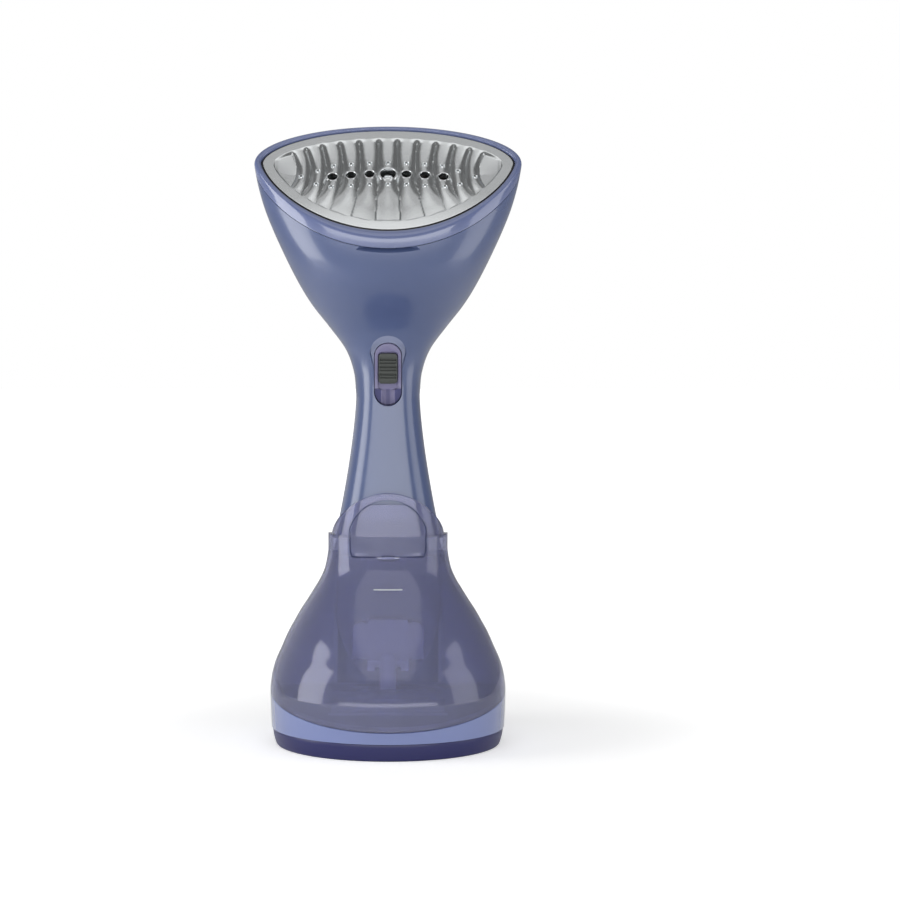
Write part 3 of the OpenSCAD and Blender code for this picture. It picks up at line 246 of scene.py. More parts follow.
def in_edit(piece, step):
    only(piece)
    bpy.ops.object.mode_set(mode="EDIT")
    bpy.ops.mesh.select_all(action="SELECT")
    step()
    bpy.ops.object.mode_set(mode="OBJECT")

def face_outward(piece):
    in_edit(piece, lambda: bpy.ops.mesh.normals_make_consistent(inside=False))

def weld(piece, distance=1e-6, outward=True):
    in_edit(piece, lambda: bpy.ops.mesh.remove_doubles(threshold=distance))
    if outward:
        face_outward(piece)

def thicken(piece, thickness, offset=1, **more):
    """Gives a sheet its wall, in millimetres."""
    apply(piece, "SOLIDIFY", thickness=thickness * MM, offset=offset, **more)

def soften(piece, width, segments, angle=40):
    """A narrow bevel, in millimetres, on the edges that are sharper than the angle."""
    apply(piece, "BEVEL", width=width * MM, segments=segments, limit_method="ANGLE",
          angle_limit=math.radians(angle))

def smooth(piece, angle=35):
    only(piece)
    bpy.ops.object.shade_smooth_by_angle(angle=math.radians(angle))

def seat_at_origin(piece):
    only(piece)
    bpy.ops.object.transform_apply(location=True, rotation=True, scale=True)

def joined(first, *others):
    only(first)
    for other in others:
        other.select_set(True)
    bpy.ops.object.join()
    return first

def cut(piece, tool, how="DIFFERENCE", folded=False):
    """Cuts a tool out of a piece, joins it on, or keeps what both share; the tool is used up."""
    apply(piece, "BOOLEAN", operation=how, object=tool, solver="EXACT", use_self=folded)
    bpy.data.objects.remove(tool)

def stands_for(piece, body, material_slot, *nodes):
    """Ties a finished piece to its moving body, its finish and the CAD nodes that it replaces."""
    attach(piece, body)
    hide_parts(*nodes)
    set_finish(piece, material_slot)
    faces = len(piece.data.polygons)
    print(f"{piece.name}: {faces} faces, replaces {', '.join(nodes)}")
    return piece

print("helpers ready; sizes are given in millimetres, 1 mm =", MM, "m")

# %% Frames of the soleplate and the trigger
flat = Matrix.Identity(4)

def turned_frame(place, degrees, axis="X"):
    return Matrix.Translation(place) @ Matrix.Rotation(math.radians(degrees), 4, axis)

plate_frame = turned_frame((0, chord_y, chord_z), plate_tilt)
trigger_z = neck_z + 11.8
trigger_frame = turned_frame((0, -6.6, trigger_z), 98)
print("the trigger's middle is at", trigger_z, "mm")

# %% The sheet, and the shapes that cut
def sheet(name, cols, rows, place):
    """A grid whose points are carried to place(u, v), with u and v from 0 to 1."""
    bpy.ops.object.select_all(action="DESELECT")
    bpy.ops.mesh.primitive_grid_add(x_subdivisions=cols, y_subdivisions=rows, size=1)
    piece = bpy.context.object
    piece.name = piece.data.name = name
    for v in piece.data.vertices:
        v.co = place(v.co.x + 0.5, v.co.y + 0.5) * MM
    return piece

def arc(u, start=180):
    """Half a turn: the front of a section, or with start at 0 its back."""
    return math.radians(start + 180 * u)

def carry(piece, matrix):
    """Brings a mesh made in millimetres to its place, in metres."""
    piece.data.transform(Matrix.Scale(MM, 4) @ matrix)
    return piece

def capsule_tool(width, length, low, high, matrix):
    bpy.ops.object.select_all(action="DESELECT")
    bpy.ops.mesh.primitive_cylinder_add(vertices=96, radius=width / 2, depth=high - low,
                                        location=(0, 0, (high + low) / 2))
    tool = bpy.context.object
    seat_at_origin(tool)
    for v in tool.data.vertices:
        v.co.y += (length - width) / 2 * (1 if v.co.y > 0 else -1)
    return carry(tool, matrix)

def drum(radius, low, high, place, matrix, vertices=64):
    bpy.ops.object.select_all(action="DESELECT")
    bpy.ops.mesh.primitive_cylinder_add(vertices=vertices, radius=radius, depth=high - low,
                                        location=(place[0], place[1], (high + low) / 2))
    tool = bpy.context.object
    seat_at_origin(tool)
    return carry(tool, matrix)

def box_tool(centre, size):
    bpy.ops.object.select_all(action="DESELECT")
    bpy.ops.mesh.primitive_cube_add(size=1)
    tool = bpy.context.object
    tool.data.transform(Matrix.Translation([part * MM for part in centre])
                        @ Matrix.Diagonal([part * MM for part in size] + [1]))
    return tool

print("workshop ready")

# %% [markdown]
# ## The front of the housing
# Two half shells meet on a fine seam down the sides. Each is a sheet wrapped on the sections above,
# then given its wall. The front one has the slot for the trigger with a pear-shaped hollow above it, and a
# shallow recess under the rim where a brush clips on, all cut with tools of the right shape. Two wings at
# the bottom close the bay behind the tank.

# %% The sheet of the front
cols_round, rows_up = 80, 150

def front_sheet(u, v):
    return front_point(deck_z + (seam_q - deck_z) * v, arc(u))

front = sheet("front_housing", cols_round, rows_up, front_sheet)
thicken(front, -wall)
face_outward(front)
print("front sheet:", len(front.data.polygons), "faces")

# %% The wings that close the bay
def wing_sheet(side):
    def place(u, v):
        z = deck_z + 1 + (bell_top - 5 - deck_z) * v
        x = handle_w - 1 + (rear_point(z, 0).x - wall - .3 - handle_w + 1) * u
        return Vector((side * x, split_y(z) + .2, z))
    return place

wings = [sheet("bay_wing", 12, 40, wing_sheet(side)) for side in (1, -1)]
for wing, way in zip(wings, (-1, 1)):
    thicken(wing, way * wall)
print(len(wings), "wings")

# %% The pear-shaped hollow, as a cutting tool
pear_half, pear_mid, pear_cap, pear_taper, pear_reach, pear_depth = 9.5, 12, 8.8, 2.9, 20.7, 1.25

def pear_width(up):
    """Half the width of the hollow round the trigger, at a height above the trigger's middle."""
    if up > pear_mid:
        return pear_half * math.sqrt(max(0.0, 1 - ((up - pear_mid) / pear_cap) ** 2))
    return pear_half - pear_taper * (pear_mid - up) / pear_mid

def pear_sheet(u, t):
    up = pear_reach * (1 - (1 - t) ** 1.6)
    q = trigger_z + up + 2.2 * clamp((up - 8) / 12, 0, 1)
    depth = pear_depth * clamp(up / 14, 0, 1) - .15
    x = pear_width(up) * (2 * u - 1)
    section = body_point(q, 0, depth).x
    c = power(clamp(x / section, -1, 1), 1 / (side_power + .16 * up_share(q)))
    return front_point(q, math.tau - math.acos(c), depth)

pear = sheet("pear_tool", 32, 48, pear_sheet)
thicken(pear, 5)
face_outward(pear)
print("the hollow is", 2 * pear_half, "mm wide")

# %% Front half of the housing, cut and joined
slot_w, slot_l, recess_r = 15.0, 34.6, 36
trigger_slot = capsule_tool(slot_w, slot_l, -12, 18, trigger_frame)
brush_recess = drum(recess_r, -5.6, -2.2, (0, -head_down - 34.3), plate_frame, 128)
cut(front, joined(trigger_slot, brush_recess, pear), folded=True)
joined(front, *wings)
weld(front, outward=False)
smooth(front)
stands_for(front, "housing", "housing", "front_shell")

# %% [markdown]
# ## The back of the housing
# The back half is the same kind of sheet and stands a quarter of a millimetre behind the seam. Four deep
# holes lead to its screws. The cord leaves through a round hole with a raised pad, which is joined on.

# %% Back half of the housing
seam_gap, screw_hole, cord_hole, cord_pad, cord_z = .25, 2.9, 5.5, 8.5, deck_z + 12

def rear_sheet(u, v):
    z = deck_z + .2 + (seam_q - deck_z - .2) * v
    return rear_point(z, arc(u, 0)) + Vector((0, seam_gap, 0))

def cord_drum():
    return drum(cord_hole, 0, 20, (0, 0), turned_frame((0, 50, cord_z), -90))

rear = sheet("rear_housing", cols_round, rows_up, rear_sheet)
thicken(rear, -wall)
face_outward(rear)
for x, z in ((11, neck_z - 28), (21.5, deck_z + 18)):
    for side in (-1, 1):
        cut(rear, drum(screw_hole, 0, 45, (0, 0), turned_frame((side * x, handle_y + 8, z), -90)))
cut(rear, cord_drum())
pad = drum(cord_pad, 2.25, 7.65, (0, 0), turned_frame((0, 54, cord_z), -90))
cut(pad, cord_drum())
soften(pad, .6, 3)
joined(rear, pad)
smooth(rear)
stands_for(rear, "housing", "housing", "rear_shell")

# %% [markdown]
# ## The rim
# The rim frames the soleplate. It is a torus whose small circle becomes the rim's own profile: up the
# outside, over a rounded crest and down to the groove of the seal. Subdivision rounds it between stations.

# %% The glossy rim
plate_w, plate_up, plate_down = 66.5, head_up - 3.1, head_down - 7.4
rim_w, rim_up, rim_down = plate_w + 1.1, plate_up + .7, plate_down + 1.6

def plate_point(w, up, down, eu, el, a, n):
    """A point on a lens outline at angle a, at height n over the soleplate's plane."""
    c, s = math.cos(a), math.sin(a)
    v = up * power(s, eu) if s >= 0 else down * power(s, el)
    return plate_frame @ Vector((w * c, v, n))

rim_outer = (head_w, head_up, head_down, .98, 1.5)
rim_inner = (rim_w, rim_up, rim_down, 1.1, 1.4)
rim_points = 12

def rim_mix(a, f, n):
    """A point between the rim's outer and inner outline; f goes from 0 to 1."""
    return plate_point(*rim_outer, a, n).lerp(plate_point(*rim_inner, a, n), f)

def rim_profile(a):
    start = seam_q + .1
    return [body_point(start, a), body_point(start + .3, a), body_point((start + chord_z) / 2, a),
            body_point(chord_z - .7, a, .1),
            rim_mix(a, .14, .35), rim_mix(a, .36, .8), rim_mix(a, .64, .85), rim_mix(a, .88, .55),
            rim_mix(a, 1, 0), rim_mix(a, 1, -3.2), rim_mix(a, .7, -4), body_point(start, a, wall)]

bpy.ops.object.select_all(action="DESELECT")
bpy.ops.mesh.primitive_torus_add(major_segments=160, minor_segments=rim_points, major_radius=1,
                                 minor_radius=.25)
rim = bpy.context.object
rim.name = rim.data.name = "glossy_rim"
for v in rim.data.vertices:
    around = math.atan2(v.co.y, v.co.x)
    small = math.atan2(v.co.z, math.hypot(v.co.x, v.co.y) - 1)
    k = round(small / math.tau * rim_points) % rim_points
    v.co = rim_profile(around)[k] * MM
weld(rim)
apply(rim, "SUBSURF", levels=2, render_levels=2)
smooth(rim, 50)
stands_for(rim, "housing", "rim", "head_bezel")

# %% [markdown]
# ## The soleplate
# The soleplate is cast and polished, with valleys that fan out from the row of steam holes.
# Beside the holes each valley is wide and round. Towards the bottom it becomes one sharp crease, so the
# ridges look like the blades of a fan. A very fine sheet carries this relief, and a small turned collar
# with a chamfer is set into each hole.

# %% Where the valleys and the holes lie
# Each valley passes three points (height, distance from the middle): above, beside and below the holes
hole_v, pitch, big_hole, small_hole = -6.7, 9.8, 4.1, 2.3
valleys = [((17.5, 5.0), (-6.7, 4.9), (-41.5, 6.3)), ((16.5, 15.6), (-6.7, 14.7), (-38.5, 19.1)),
           ((15, 25.6), (-6.7, 24.1), (-34, 30.5)), ((13, 35.1), (-6.7, 32.9), (-30, 38.1)),
           ((10, 43.4), (-6.7, 41.0), (-24, 45.2)), ((7.5, 51.4), (-6.7, 48.8), (-16, 51.8))]

def valley_x(k, v):
    """How far valley k lies from the middle, on a parabola through its three points."""
    (a, xa), (b, xb), (c, xc) = valleys[k]
    v = clamp(v, c - 3, a + 4)
    return (xa * (v - b) * (v - c) / ((a - b) * (a - c)) + xb * (v - a) * (v - c) / ((b - a) * (b - c))
            + xc * (v - a) * (v - b) / ((c - a) * (c - b)))

hole_pairs = ((1, -.2), (2, -1.0), (3, -2.2))
steam_holes = [(0, 0.0, big_hole)] + [(s * k, dv, small_hole) for k, dv in hole_pairs for s in (-1, 1)]
stud_pairs = ((1, 7.5), (1, -8.3), (2, 6.7), (2, -9.2), (2.95, 5.5), (3.07, -10.1),
              (3.8, 1.6), (3.88, -8.3), (4.7, -2.7))
studs = [(0, 7.7), (0, -8.3)] + [(s * x, y) for x, y in stud_pairs for s in (-1, 1)]
print(len(steam_holes), "steam holes and", len(studs), "small countersinks")

# %% The height of the relief at a point of the plate
edge_up, edge_low = 1.12, 1.38

def lens_edge(w, up, down, x):
    """The upper and the lower edge of a lens outline, at x."""
    s = math.sqrt(max(0.0, 1 - (x / w) ** 2))
    return up * s ** edge_up, -down * s ** edge_low

field = (plate_w - 5.3, plate_up - 5.4, plate_down - 6.6)

def relief(x, v):
    """Height of the plate's face: a long dish, with a valley between each hole and the next."""
    ax = abs(x)
    top, low = lens_edge(*field, min(ax, field[0]))
    inside = min(top - v, v - low, (field[0] - ax) * 0.8)
    if inside <= 0:
        return 0.0
    up = clamp((v - hole_v) / max(4.0, top - hole_v), 0, 1)
    down = clamp((hole_v - v) / max(4.0, hole_v - low), 0, 1)
    dish = (1 - up * up) * clamp((top - hole_v) / 24, .3, 1) * (1 - .45 * down)
    edges = [valley_x(k, v) for k in range(6)]
    bladed = ease(clamp((hole_v - 5 - v) / 20, 0, 1))
    fade = ease((top - v) / 2.6) * ease((v - low) / 1.2) * ease((field[0] - ax) / 4)
    if ax >= edges[5]:
        t = (ax - edges[5]) / max(1.0, field[0] - edges[5])
        return -(dish + 1.9 * (1 - t) * ease(inside / 2.5) * (1 - .5 * up)) * ease(inside / .9)
    k = 0
    while k < 5 and ax > edges[k]:
        k += 1
    inner = edges[k - 1] if k else -edges[0]
    t = (ax - inner) / (edges[k] - inner)
    narrow = clamp((v - hole_v - 5) / 12, 0, 1)
    round_wave = abs(2 * t - 1) ** (1.9 + 1.3 * narrow)
    blade = .3 * (1 - (2 * t - 1) ** 2) ** 2 if k == 0 else (1 - t) ** 1.7 * ease(t / .07)
    near = max(1 - ease((math.hypot(x - hx * pitch, v - hole_v - hv) - r - .4) / 1.2)
               for hx, hv, r in steam_holes)
    wave = (1.7 - .3 * narrow) * round_wave * (1 - bladed) + 1.75 * blade * bladed
    return -(dish * ease(inside / .9) + wave * fade * (1 - near))

def crown(v):
    """The lower border falls away in a long curve, so it mirrors the light in front."""
    return -max(0.0, -20 - v) ** 2 / 680

def level_at(x, v):
    """Height of the finished face."""
    return -.4 + crown(v) + relief(x, v)

print("at the middle hole the face lies", round(-level_at(0, hole_v), 2), "mm deep")

# %% The sheet of the soleplate
# Its section runs up from the middle of the underside, over the border and the relief, and back
field_rows = 150
edge_rows = [(0.5, 0, -4.4), (0, .16, -4.4), (0, .16, -.85), (0, .08, -.52), (0, 0, -.42)]
last_row = field_rows + 2 * len(edge_rows) - 1
plate_edge_down = plate_down - 0.9

def plate_sheet(u, t):
    x = -plate_w * math.cos(math.pi * u)
    top, low = lens_edge(plate_w, plate_up, plate_edge_down, x)
    k = round(t * last_row)
    if k < len(edge_rows):
        part, out, n = edge_rows[k]
        return Vector((x, low + (top - low) * part - out, n + (crown(low) if n > -4 else 0)))
    k -= len(edge_rows)
    if k >= field_rows:
        part, out, n = edge_rows[len(edge_rows) - 1 - (k - field_rows)]
        return Vector((x, top - (top - low) * part + out, n))
    room = min(.3, .2 * (top - low))
    v = low + room + (top - low - 2 * room) * k / (field_rows - 1)
    return Vector((x, v, level_at(x, v)))

plate = sheet("polished_soleplate", 420, last_row, plate_sheet)
weld(plate)
print("relief down to", round(min(v.co.z for v in plate.data.vertices) * 1000, 2), "mm,",
      len(plate.data.polygons), "faces")

# %% Cutting the holes and countersinks
big_bore, small_bore, stud_bore = 4.45, 2.9, 1.45
tools = [drum(big_bore if r == big_hole else small_bore, -9, 3, (hx * pitch, hole_v + hv), flat, 48)
         for hx, hv, r in steam_holes]
tools += [drum(stud_bore, -2.9, 3, (sx * pitch, hole_v + sv), flat, 32) for sx, sv in studs]
print(len(tools), "drums cut the plate")
cut(plate, joined(tools[0], *tools[1:]))

# %% Turned collars
def turned(name, profile, segments):
    """A form turned from a profile of (radius, height) points."""
    last = len(profile) - 1
    def place(u, t):
        r, z = profile[round(t * last)]
        return Vector((r * math.cos(math.tau * u), r * math.sin(math.tau * u), z))
    piece = sheet(name, segments, last, place)
    weld(piece)
    return piece

def bush(name, radius):
    """A thin sleeve with a fine lip, level with the plate round it."""
    profile = [(radius + .42, -.6), (radius + .4, .0), (radius + .15, .0), (radius, -.25), (radius, -3.4)]
    return turned(name, profile, 64)

def fit(pattern, x, v):
    """A copy of a collar, set at the height of the plate's face."""
    twin = pattern.copy()
    twin.data = pattern.data.copy()
    bpy.context.scene.collection.objects.link(twin)
    twin.data.transform(Matrix.Translation((x * MM, v * MM, level_at(x, v) * MM)))
    return twin

big_bush, small_bush = bush("big_bush", 4.15), bush("small_bush", 2.6)
jet = turned("jet", [(2.5, -4.4), (2.4, -3.4), (2.0, -3.1), (1.0, -2.85), (0, -2.8)], 48)
stud_profile = [(1.62, -.4), (1.58, .0), (1.38, .02), (1.3, -.1), (1.24, -2.6), (.74, -2.65), (.7, -.3),
                (.5, -.1), (0, -.03)]
stud = turned("countersink", stud_profile, 32)

fitted = [fit(big_bush, 0, hole_v), fit(jet, 0, hole_v)]
fitted += [fit(small_bush, hx * pitch, hole_v + hv) for hx, hv, r in steam_holes if r == small_hole]
fitted += [fit(stud, sx * pitch, hole_v + sv) for sx, sv in studs]
for pattern in (big_bush, small_bush, jet, stud):
    bpy.data.objects.remove(pattern)
print(len(fitted), "bushes and countersinks")
joined(plate, *fitted)
plate.data.transform(Matrix.Scale(MM, 4) @ plate_frame @ Matrix.Scale(1 / MM, 4))
smooth(plate, 28)
stands_for(plate, "housing", "soleplate", "soleplate")

# %% [markdown]
# ## The tank
# The tank is blown from clear smoky plastic. One sheet runs up the bell, steps in over the flat shoulders and
# ends in the arched tab that lies against the handle. A wall of two millimetres is then given to it.
# The arched flap is cut out of the tab, and it is the same kind of sheet.

# %% Sections of the tank
drop = Vector((0, -tank_gap, 0))

def close_in(height):
    """Closes in on a height that depends on itself, from a first guess near the base's edge."""
    z = 24.0
    for _ in range(5):
        z = height(z)
    return z

def deck_hit(a):
    """Where the tank stands on the sloping deck."""
    return close_in(lambda z: deck(bell_point(z, a).y - tank_gap) + tank_gap)

def tab_point(z, a, off):
    """A point of the tank's tab, which stands off the handle."""
    if z > shoulder_z:
        return body_point(z, a, -off)
    p = body_point(shoulder_z, a, -off)
    return Vector((p.x, p.y + (split_y(z) - handle_y) * math.cos(a) ** 2, z))

def arch(a):
    x = power(math.cos(a), side_power)
    return shoulder_z + .6 + (tab_rise - .6) * math.sqrt(max(0.0, 1 - x * x))

bell_rows, tab_rows = 70, 26

def tank_sheet(u, t):
    a = arc(u)
    k = round(t * (bell_rows + tab_rows))
    if k < bell_rows:
        low = deck_hit(a)
        p = bell_point(low + (shoulder_z - low) * k / (bell_rows - 1), a)
    else:
        f = (k - bell_rows) / tab_rows
        p = tab_point(shoulder_z + (arch(a) - shoulder_z) * f, a, tank_gap + tank_wall)
    return p + drop

print("the tab's arch reaches", round(arch(math.radians(270)), 1), "mm")

# %% The tank with its wall
tank = sheet("clear_tank", 96, bell_rows + tab_rows, tank_sheet)
weld(tank, outward=False)
thicken(tank, -tank_wall, use_even_offset=True, use_quality_normals=True)
face_outward(tank)
print("tank sheet:", len(tank.data.polygons), "faces")

# %% The opening for the flap
flap_w, flap_h, flap_low = 20.4, 30.2, ceiling_z + .8

def flap_tool(grow):
    """An arch with a flat foot and upright sides, drawn through the tab."""
    r = flap_w * 1.04
    round_part = drum(r + grow, -2, 60, (0, 0), turned_frame((0, 0, flap_low + flap_h - r), 90), 128)
    straight_part = box_tool((0, -20, flap_low - grow + 30), (2 * (flap_w + grow), 70, 60))
    cut(round_part, straight_part, "INTERSECT")
    return round_part

cut(tank, flap_tool(.35))
soften(tank, .4, 2)
smooth(tank, 30)
stands_for(tank, "tank", "tank", "tank_shell")

# %% The flap and its hinge eye
def flap_sheet(u, t):
    return tab_point(ceiling_z - 1 + 30 * t, arc(u * .62 + .19), tank_gap + tank_wall) + drop

flap = sheet("filling_flap", 64, 48, flap_sheet)
thicken(flap, -tank_wall)
face_outward(flap)
cut(flap, flap_tool(-.15), "INTERSECT")
soften(flap, .5, 3)
smooth(flap, 30)
eye_y = handle_y - handle_d - 2 * tank_gap - tank_wall - .4
eye = drum(1.6, -3.5, 3.5, (0, 0), turned_frame((0, eye_y, ceiling_z), 90, "Y"), 32)
soften(eye, .3, 2)
smooth(eye, 30)
joined(flap, eye)
stands_for(flap, "flap", "tank", "filler_flap")

# %% [markdown]
# ## The level line
# A plain raised line across the front of the tank marks how far it is filled. It is a narrow strip wrapped
# on the same sections, half a millimetre high and a quarter of a millimetre thick.

# %% The plain level line
level_z, line_height, line_out, line_thick, line_span = 85.5, .5, .05, .25, 18

def level_sheet(u, t):
    z = level_z - line_height / 2 + line_height * t
    return bell_point(z, math.radians(270 - line_span / 2 + line_span * u), -line_out) + drop

level_line = sheet("level_line", 24, 2, level_sheet)
thicken(level_line, line_thick, offset=-1)
face_outward(level_line)
smooth(level_line, 30)
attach(level_line, "tank")
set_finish(level_line, "hose")
print("level line at", level_z, "mm")

# %% [markdown]
# ## The base
# A pale band carries the sloping deck that the tank stands on, and a dark foot closes it from below.
# Both are sections wrapped all the way round, from the middle out to the rim and back, so they are closed.

# %% The band with its deck
def ring_top(a):
    """Where the band meets the deck: flat behind, sloping in front."""
    if math.sin(a) >= 0:
        return deck_z
    return close_in(lambda z: deck(bell_point(z, a).y))

def closed_ring(name, rows, point):
    """rows are keys of a profile; the first and the last lie at the middle."""
    last = len(rows) - 1
    piece = sheet(name, 240, last, lambda u, t: point(rows[round(t * last)], math.tau * u))
    weld(piece)
    return piece

def band_point(row, a):
    where, share_in, value = row
    top = ring_top(a)
    edge = bell_point(top, a)
    if where == "deck":
        x, y = edge.x * share_in, edge.y * share_in
        return Vector((x, y, (deck(min(y, 0.0)) if y < 0 else deck_z) - value))
    if where == "lip":
        return bell_point(top - value, a, share_in)
    return bell_point(foot_z + .2 + (top - foot_z - .9) * value, a, share_in)

band_rows = [("deck", 0, 0), ("deck", .5, 0), ("deck", .9, 0),
             ("lip", .7, 0), ("lip", .22, .06), ("lip", .04, .28)]
band_rows += [("side", .02, 1 - k / 14) for k in range(15)]
band_rows += [("side", .25, -.012), ("side", 2.6, -.012), ("side", 2.6, .75), ("deck", .9, 3), ("deck", 0, 3)]
band = closed_ring("base_band", band_rows, band_point)
cut(band, drum(8.1, 0, 60, (0, -14), flat))
notch_w = handle_w + .5
notch = box_tool((0, handle_y - col_semi - 1.2 + 10, 32), (2 * notch_w, 20, 20))
cut(band, notch)
smooth(band, 30)
stands_for(band, "housing", "band", "base_shell")

# %% The foot
def foot_point(row, a):
    kind, inset, z = row
    if kind == "middle":
        return Vector((0, 0, z))
    return bell_point(foot_z, a, inset) + Vector((0, 0, z - foot_z))

foot_rows = [("middle", 0, 0), ("side", 12, 0), ("side", 4, 0), ("side", 3.2, .02), ("side", 2.75, .22),
             ("side", 2.35, .7)]
foot_rows += [("side", .6 + 1.5 * (1 - k / 6) ** 1.6, 1.4 + 7.2 * k / 6) for k in range(7)]
foot_rows += [("side", .75, 9.1), ("side", 1.1, 9.2), ("side", 8, 9.2), ("middle", 0, 9.2)]
foot = closed_ring("dark_foot", foot_rows, foot_point)

def foot_hole(degrees, in_x, in_y, radius, depth, vertices):
    """A round hole from below: four lead to the screws, and four shallow ones seat the pads."""
    x = (base_w - in_x) * math.cos(math.radians(degrees))
    y = (base_d - in_y) * math.sin(math.radians(degrees))
    cut(foot, drum(radius, -1, depth, (x, y), flat, vertices))

for a in (40, 140, 220, 320):
    foot_hole(a, 10.2, 7.5, 3.2, 3, 40)
for a in (65, 115, 245, 295):
    foot_hole(a, 17.2, 14.5, 5.1, 1.2, 48)
smooth(foot, 30)
stands_for(foot, "housing", "foot", "base_foot")

# %% [markdown]
# ## Small pieces with soft edges
# The small pieces are machined or moulded from exact CAD solids. Each is copied, its triangles are merged,
# and its sharp edges get a narrow bevel that catches the light like a moulded edge.

# %% The helper that softens a copy
slots = {s["node"]: s["material_slot"] for s in frame["record"]["subparts"]}

def softened(node, body, width, angle=35):
    source = frame["nodes"][node]
    piece = source.copy()
    piece.data = source.data.copy()
    piece.parent = None
    bpy.context.scene.collection.objects.link(piece)
    piece.name = piece.data.name = node + "_soft"
    for key in list(piece.keys()):
        if key.startswith("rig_"):
            del piece[key]
    weld(piece)
    apply(piece, "DECIMATE", decimate_type="DISSOLVE", angle_limit=math.radians(.8))
    soften(piece, width, 2, angle)
    smooth(piece, 40)
    return stands_for(piece, body, slots[node], node)

print(len(slots), "CAD nodes have a finish to their name")

# %% [markdown]
# ## The trigger and its lock
# The trigger is one long button, hollowed a little along its length so that a finger finds it. Below, a
# round track for the fingertip is cut in with a drum laid along it. The slider that locks the trigger runs
# in a pocket in the middle, and its ribs are left standing by cutting the gaps between them.

# %% An upright block for the cuts
def block(w, l, low, high, x, y, matrix, radius=0.0):
    """An upright block, with round corners where a radius is given."""
    bpy.ops.object.select_all(action="DESELECT")
    bpy.ops.mesh.primitive_cylinder_add(vertices=64, radius=max(radius, .001), depth=high - low,
                                        location=(0, 0, (high + low) / 2), rotation=(0, 0, math.pi / 64))
    made = bpy.context.object
    seat_at_origin(made)
    for v in made.data.vertices:
        v.co.x += x + math.copysign(w / 2 - radius, v.co.x)
        v.co.y += y + math.copysign(l / 2 - radius, v.co.y)
    weld(made, 1e-4)
    return carry(made, matrix)

lock_l, lock_w, lock_y, lock_run = 16.2, 10.0, 3.2, 6.0
slot_y, track_top = lock_y - lock_run / 2, -8.6
print("the lock slides", lock_run, "mm")

# %% The trigger with its pocket
trigger_w, trigger_l, flange_w, flange_l, dip_r = 14.2, 33.8, 17.2, 36.8, 40.6
trigger = capsule_tool(trigger_w, trigger_l, -6.6, 1.3, trigger_frame)
trigger.name = trigger.data.name = "finger_trigger"
cut(trigger, capsule_tool(flange_w, flange_l, -6.8, -5.0, trigger_frame), "UNION")
dip = trigger_frame @ Matrix.Translation((0, -1, 41.2)) @ Matrix.Rotation(math.radians(90), 4, "Y")
cut(trigger, drum(dip_r, -20, 20, (0, 0), dip, 192))
cut(trigger, block(lock_w + .7, lock_l + lock_run + 1.3, -1.1, 6, 0, slot_y + .3, trigger_frame, 2.2))
soften(trigger, .3, 3)
cut(trigger, block(2.4, 10.0, -3.4, 0, 0, .2, trigger_frame, 1.1))
print("trigger before its track:", len(trigger.data.polygons), "faces")

# %% The finger track and the groove round its lip
lip_r, lip_y = 10.2, track_top + 9.8
along = trigger_frame @ Matrix.Translation((0, 0, 1.3)) @ Matrix.Rotation(math.radians(90), 4, "X")
track = block(18, 12.4, -2.1, 6, 0, track_top - 5, trigger_frame)
cut(track, drum(4.6, -track_top - 1, 22, (0, 0), along, 96), "UNION")
cut(track, drum(lip_r, -8, 9, (0, lip_y), trigger_frame, 128))
cut(trigger, track)
groove = drum(lip_r + .45, -3.0, 3, (0, lip_y), trigger_frame, 128)
cut(groove, drum(lip_r - .25, -8, 9, (0, lip_y), trigger_frame, 128))
cut(groove, block(10.2, 8, -4, 4, 0, track_top, trigger_frame), "INTERSECT")
cut(trigger, groove)
smooth(trigger, 40)
stands_for(trigger, "trigger", "mauve", "trigger")

# %% The lock slider with its ribs
lock = softened("lock_slider", "lock", .3, 40)
cut(lock, block(20, 30, -6, -1.0, 0, lock_y, trigger_frame))
cut(lock, block(2.0, 3.6, -2.4, -.5, 0, lock_y, trigger_frame, .6), "UNION")
for i in (-1, 0, 1):
    for j in (-1, 1):
        cut(lock, block(8.8, .85, .3, 4, 0, lock_y + 3.95 * i + .85 * j, trigger_frame))
smooth(lock, 40)

# %% The other small pieces
softened("valve_housing", "tank", .35)
softened("tank_back", "tank", .3)
softened("cord_gland", "housing", .4)
softened("foot_pads", "housing", .25)
softened("pump_body", "housing", .6)
softened("chassis", "housing", .3)
softened("base_screws", "housing", .2)
softened("shell_screws", "housing", .2)

# %% [markdown]
# ## Finishes
# Effects that several finishes share, or that lie on one part of a piece only, are node groups: a moulded
# grain, a slow change of tone, two masks at the trigger that paint light on the hollow and shade on the
# cheeks, and the faint lines that polishing leaves on metal.
# Each material then holds its own shader.

# %% Helpers for groups and nodes
def group(name, inputs, outputs):
    """A shared effect with named inputs and outputs."""
    tree = bpy.data.node_groups.new(name, "ShaderNodeTree")
    for label, kind, value in inputs:
        socket = tree.interface.new_socket(name=label, in_out="INPUT", socket_type=kind)
        socket.default_value = value
    for label, kind in outputs:
        tree.interface.new_socket(name=label, in_out="OUTPUT", socket_type=kind)
    return tree, tree.nodes.new("NodeGroupInput"), tree.nodes.new("NodeGroupOutput")

def node(tree, kind, links=None, **values):
    """Adds a node; each named socket gets a link or a plain value."""
    made = tree.nodes.new(kind)
    for key, value in values.items():
        setattr(made, key, value)
    for socket, value in (links or {}).items():
        if isinstance(value, bpy.types.NodeSocket):
            tree.links.new(value, made.inputs[socket])
        else:
            made.inputs[socket].default_value = value
    return made

def sums(tree, operation, first, second=0.0):
    """A Math node, given by its result."""
    return node(tree, "ShaderNodeMath", {0: first, 1: second}, operation=operation).outputs[0]

def ranged(tree, value, low, high, to_low=0.0, to_high=1.0, **more):
    """A Map Range node, given by its result."""
    ends = {"Value": value, "From Min": low, "From Max": high, "To Min": to_low, "To Max": to_high}
    return node(tree, "ShaderNodeMapRange", ends, **more).outputs[0]

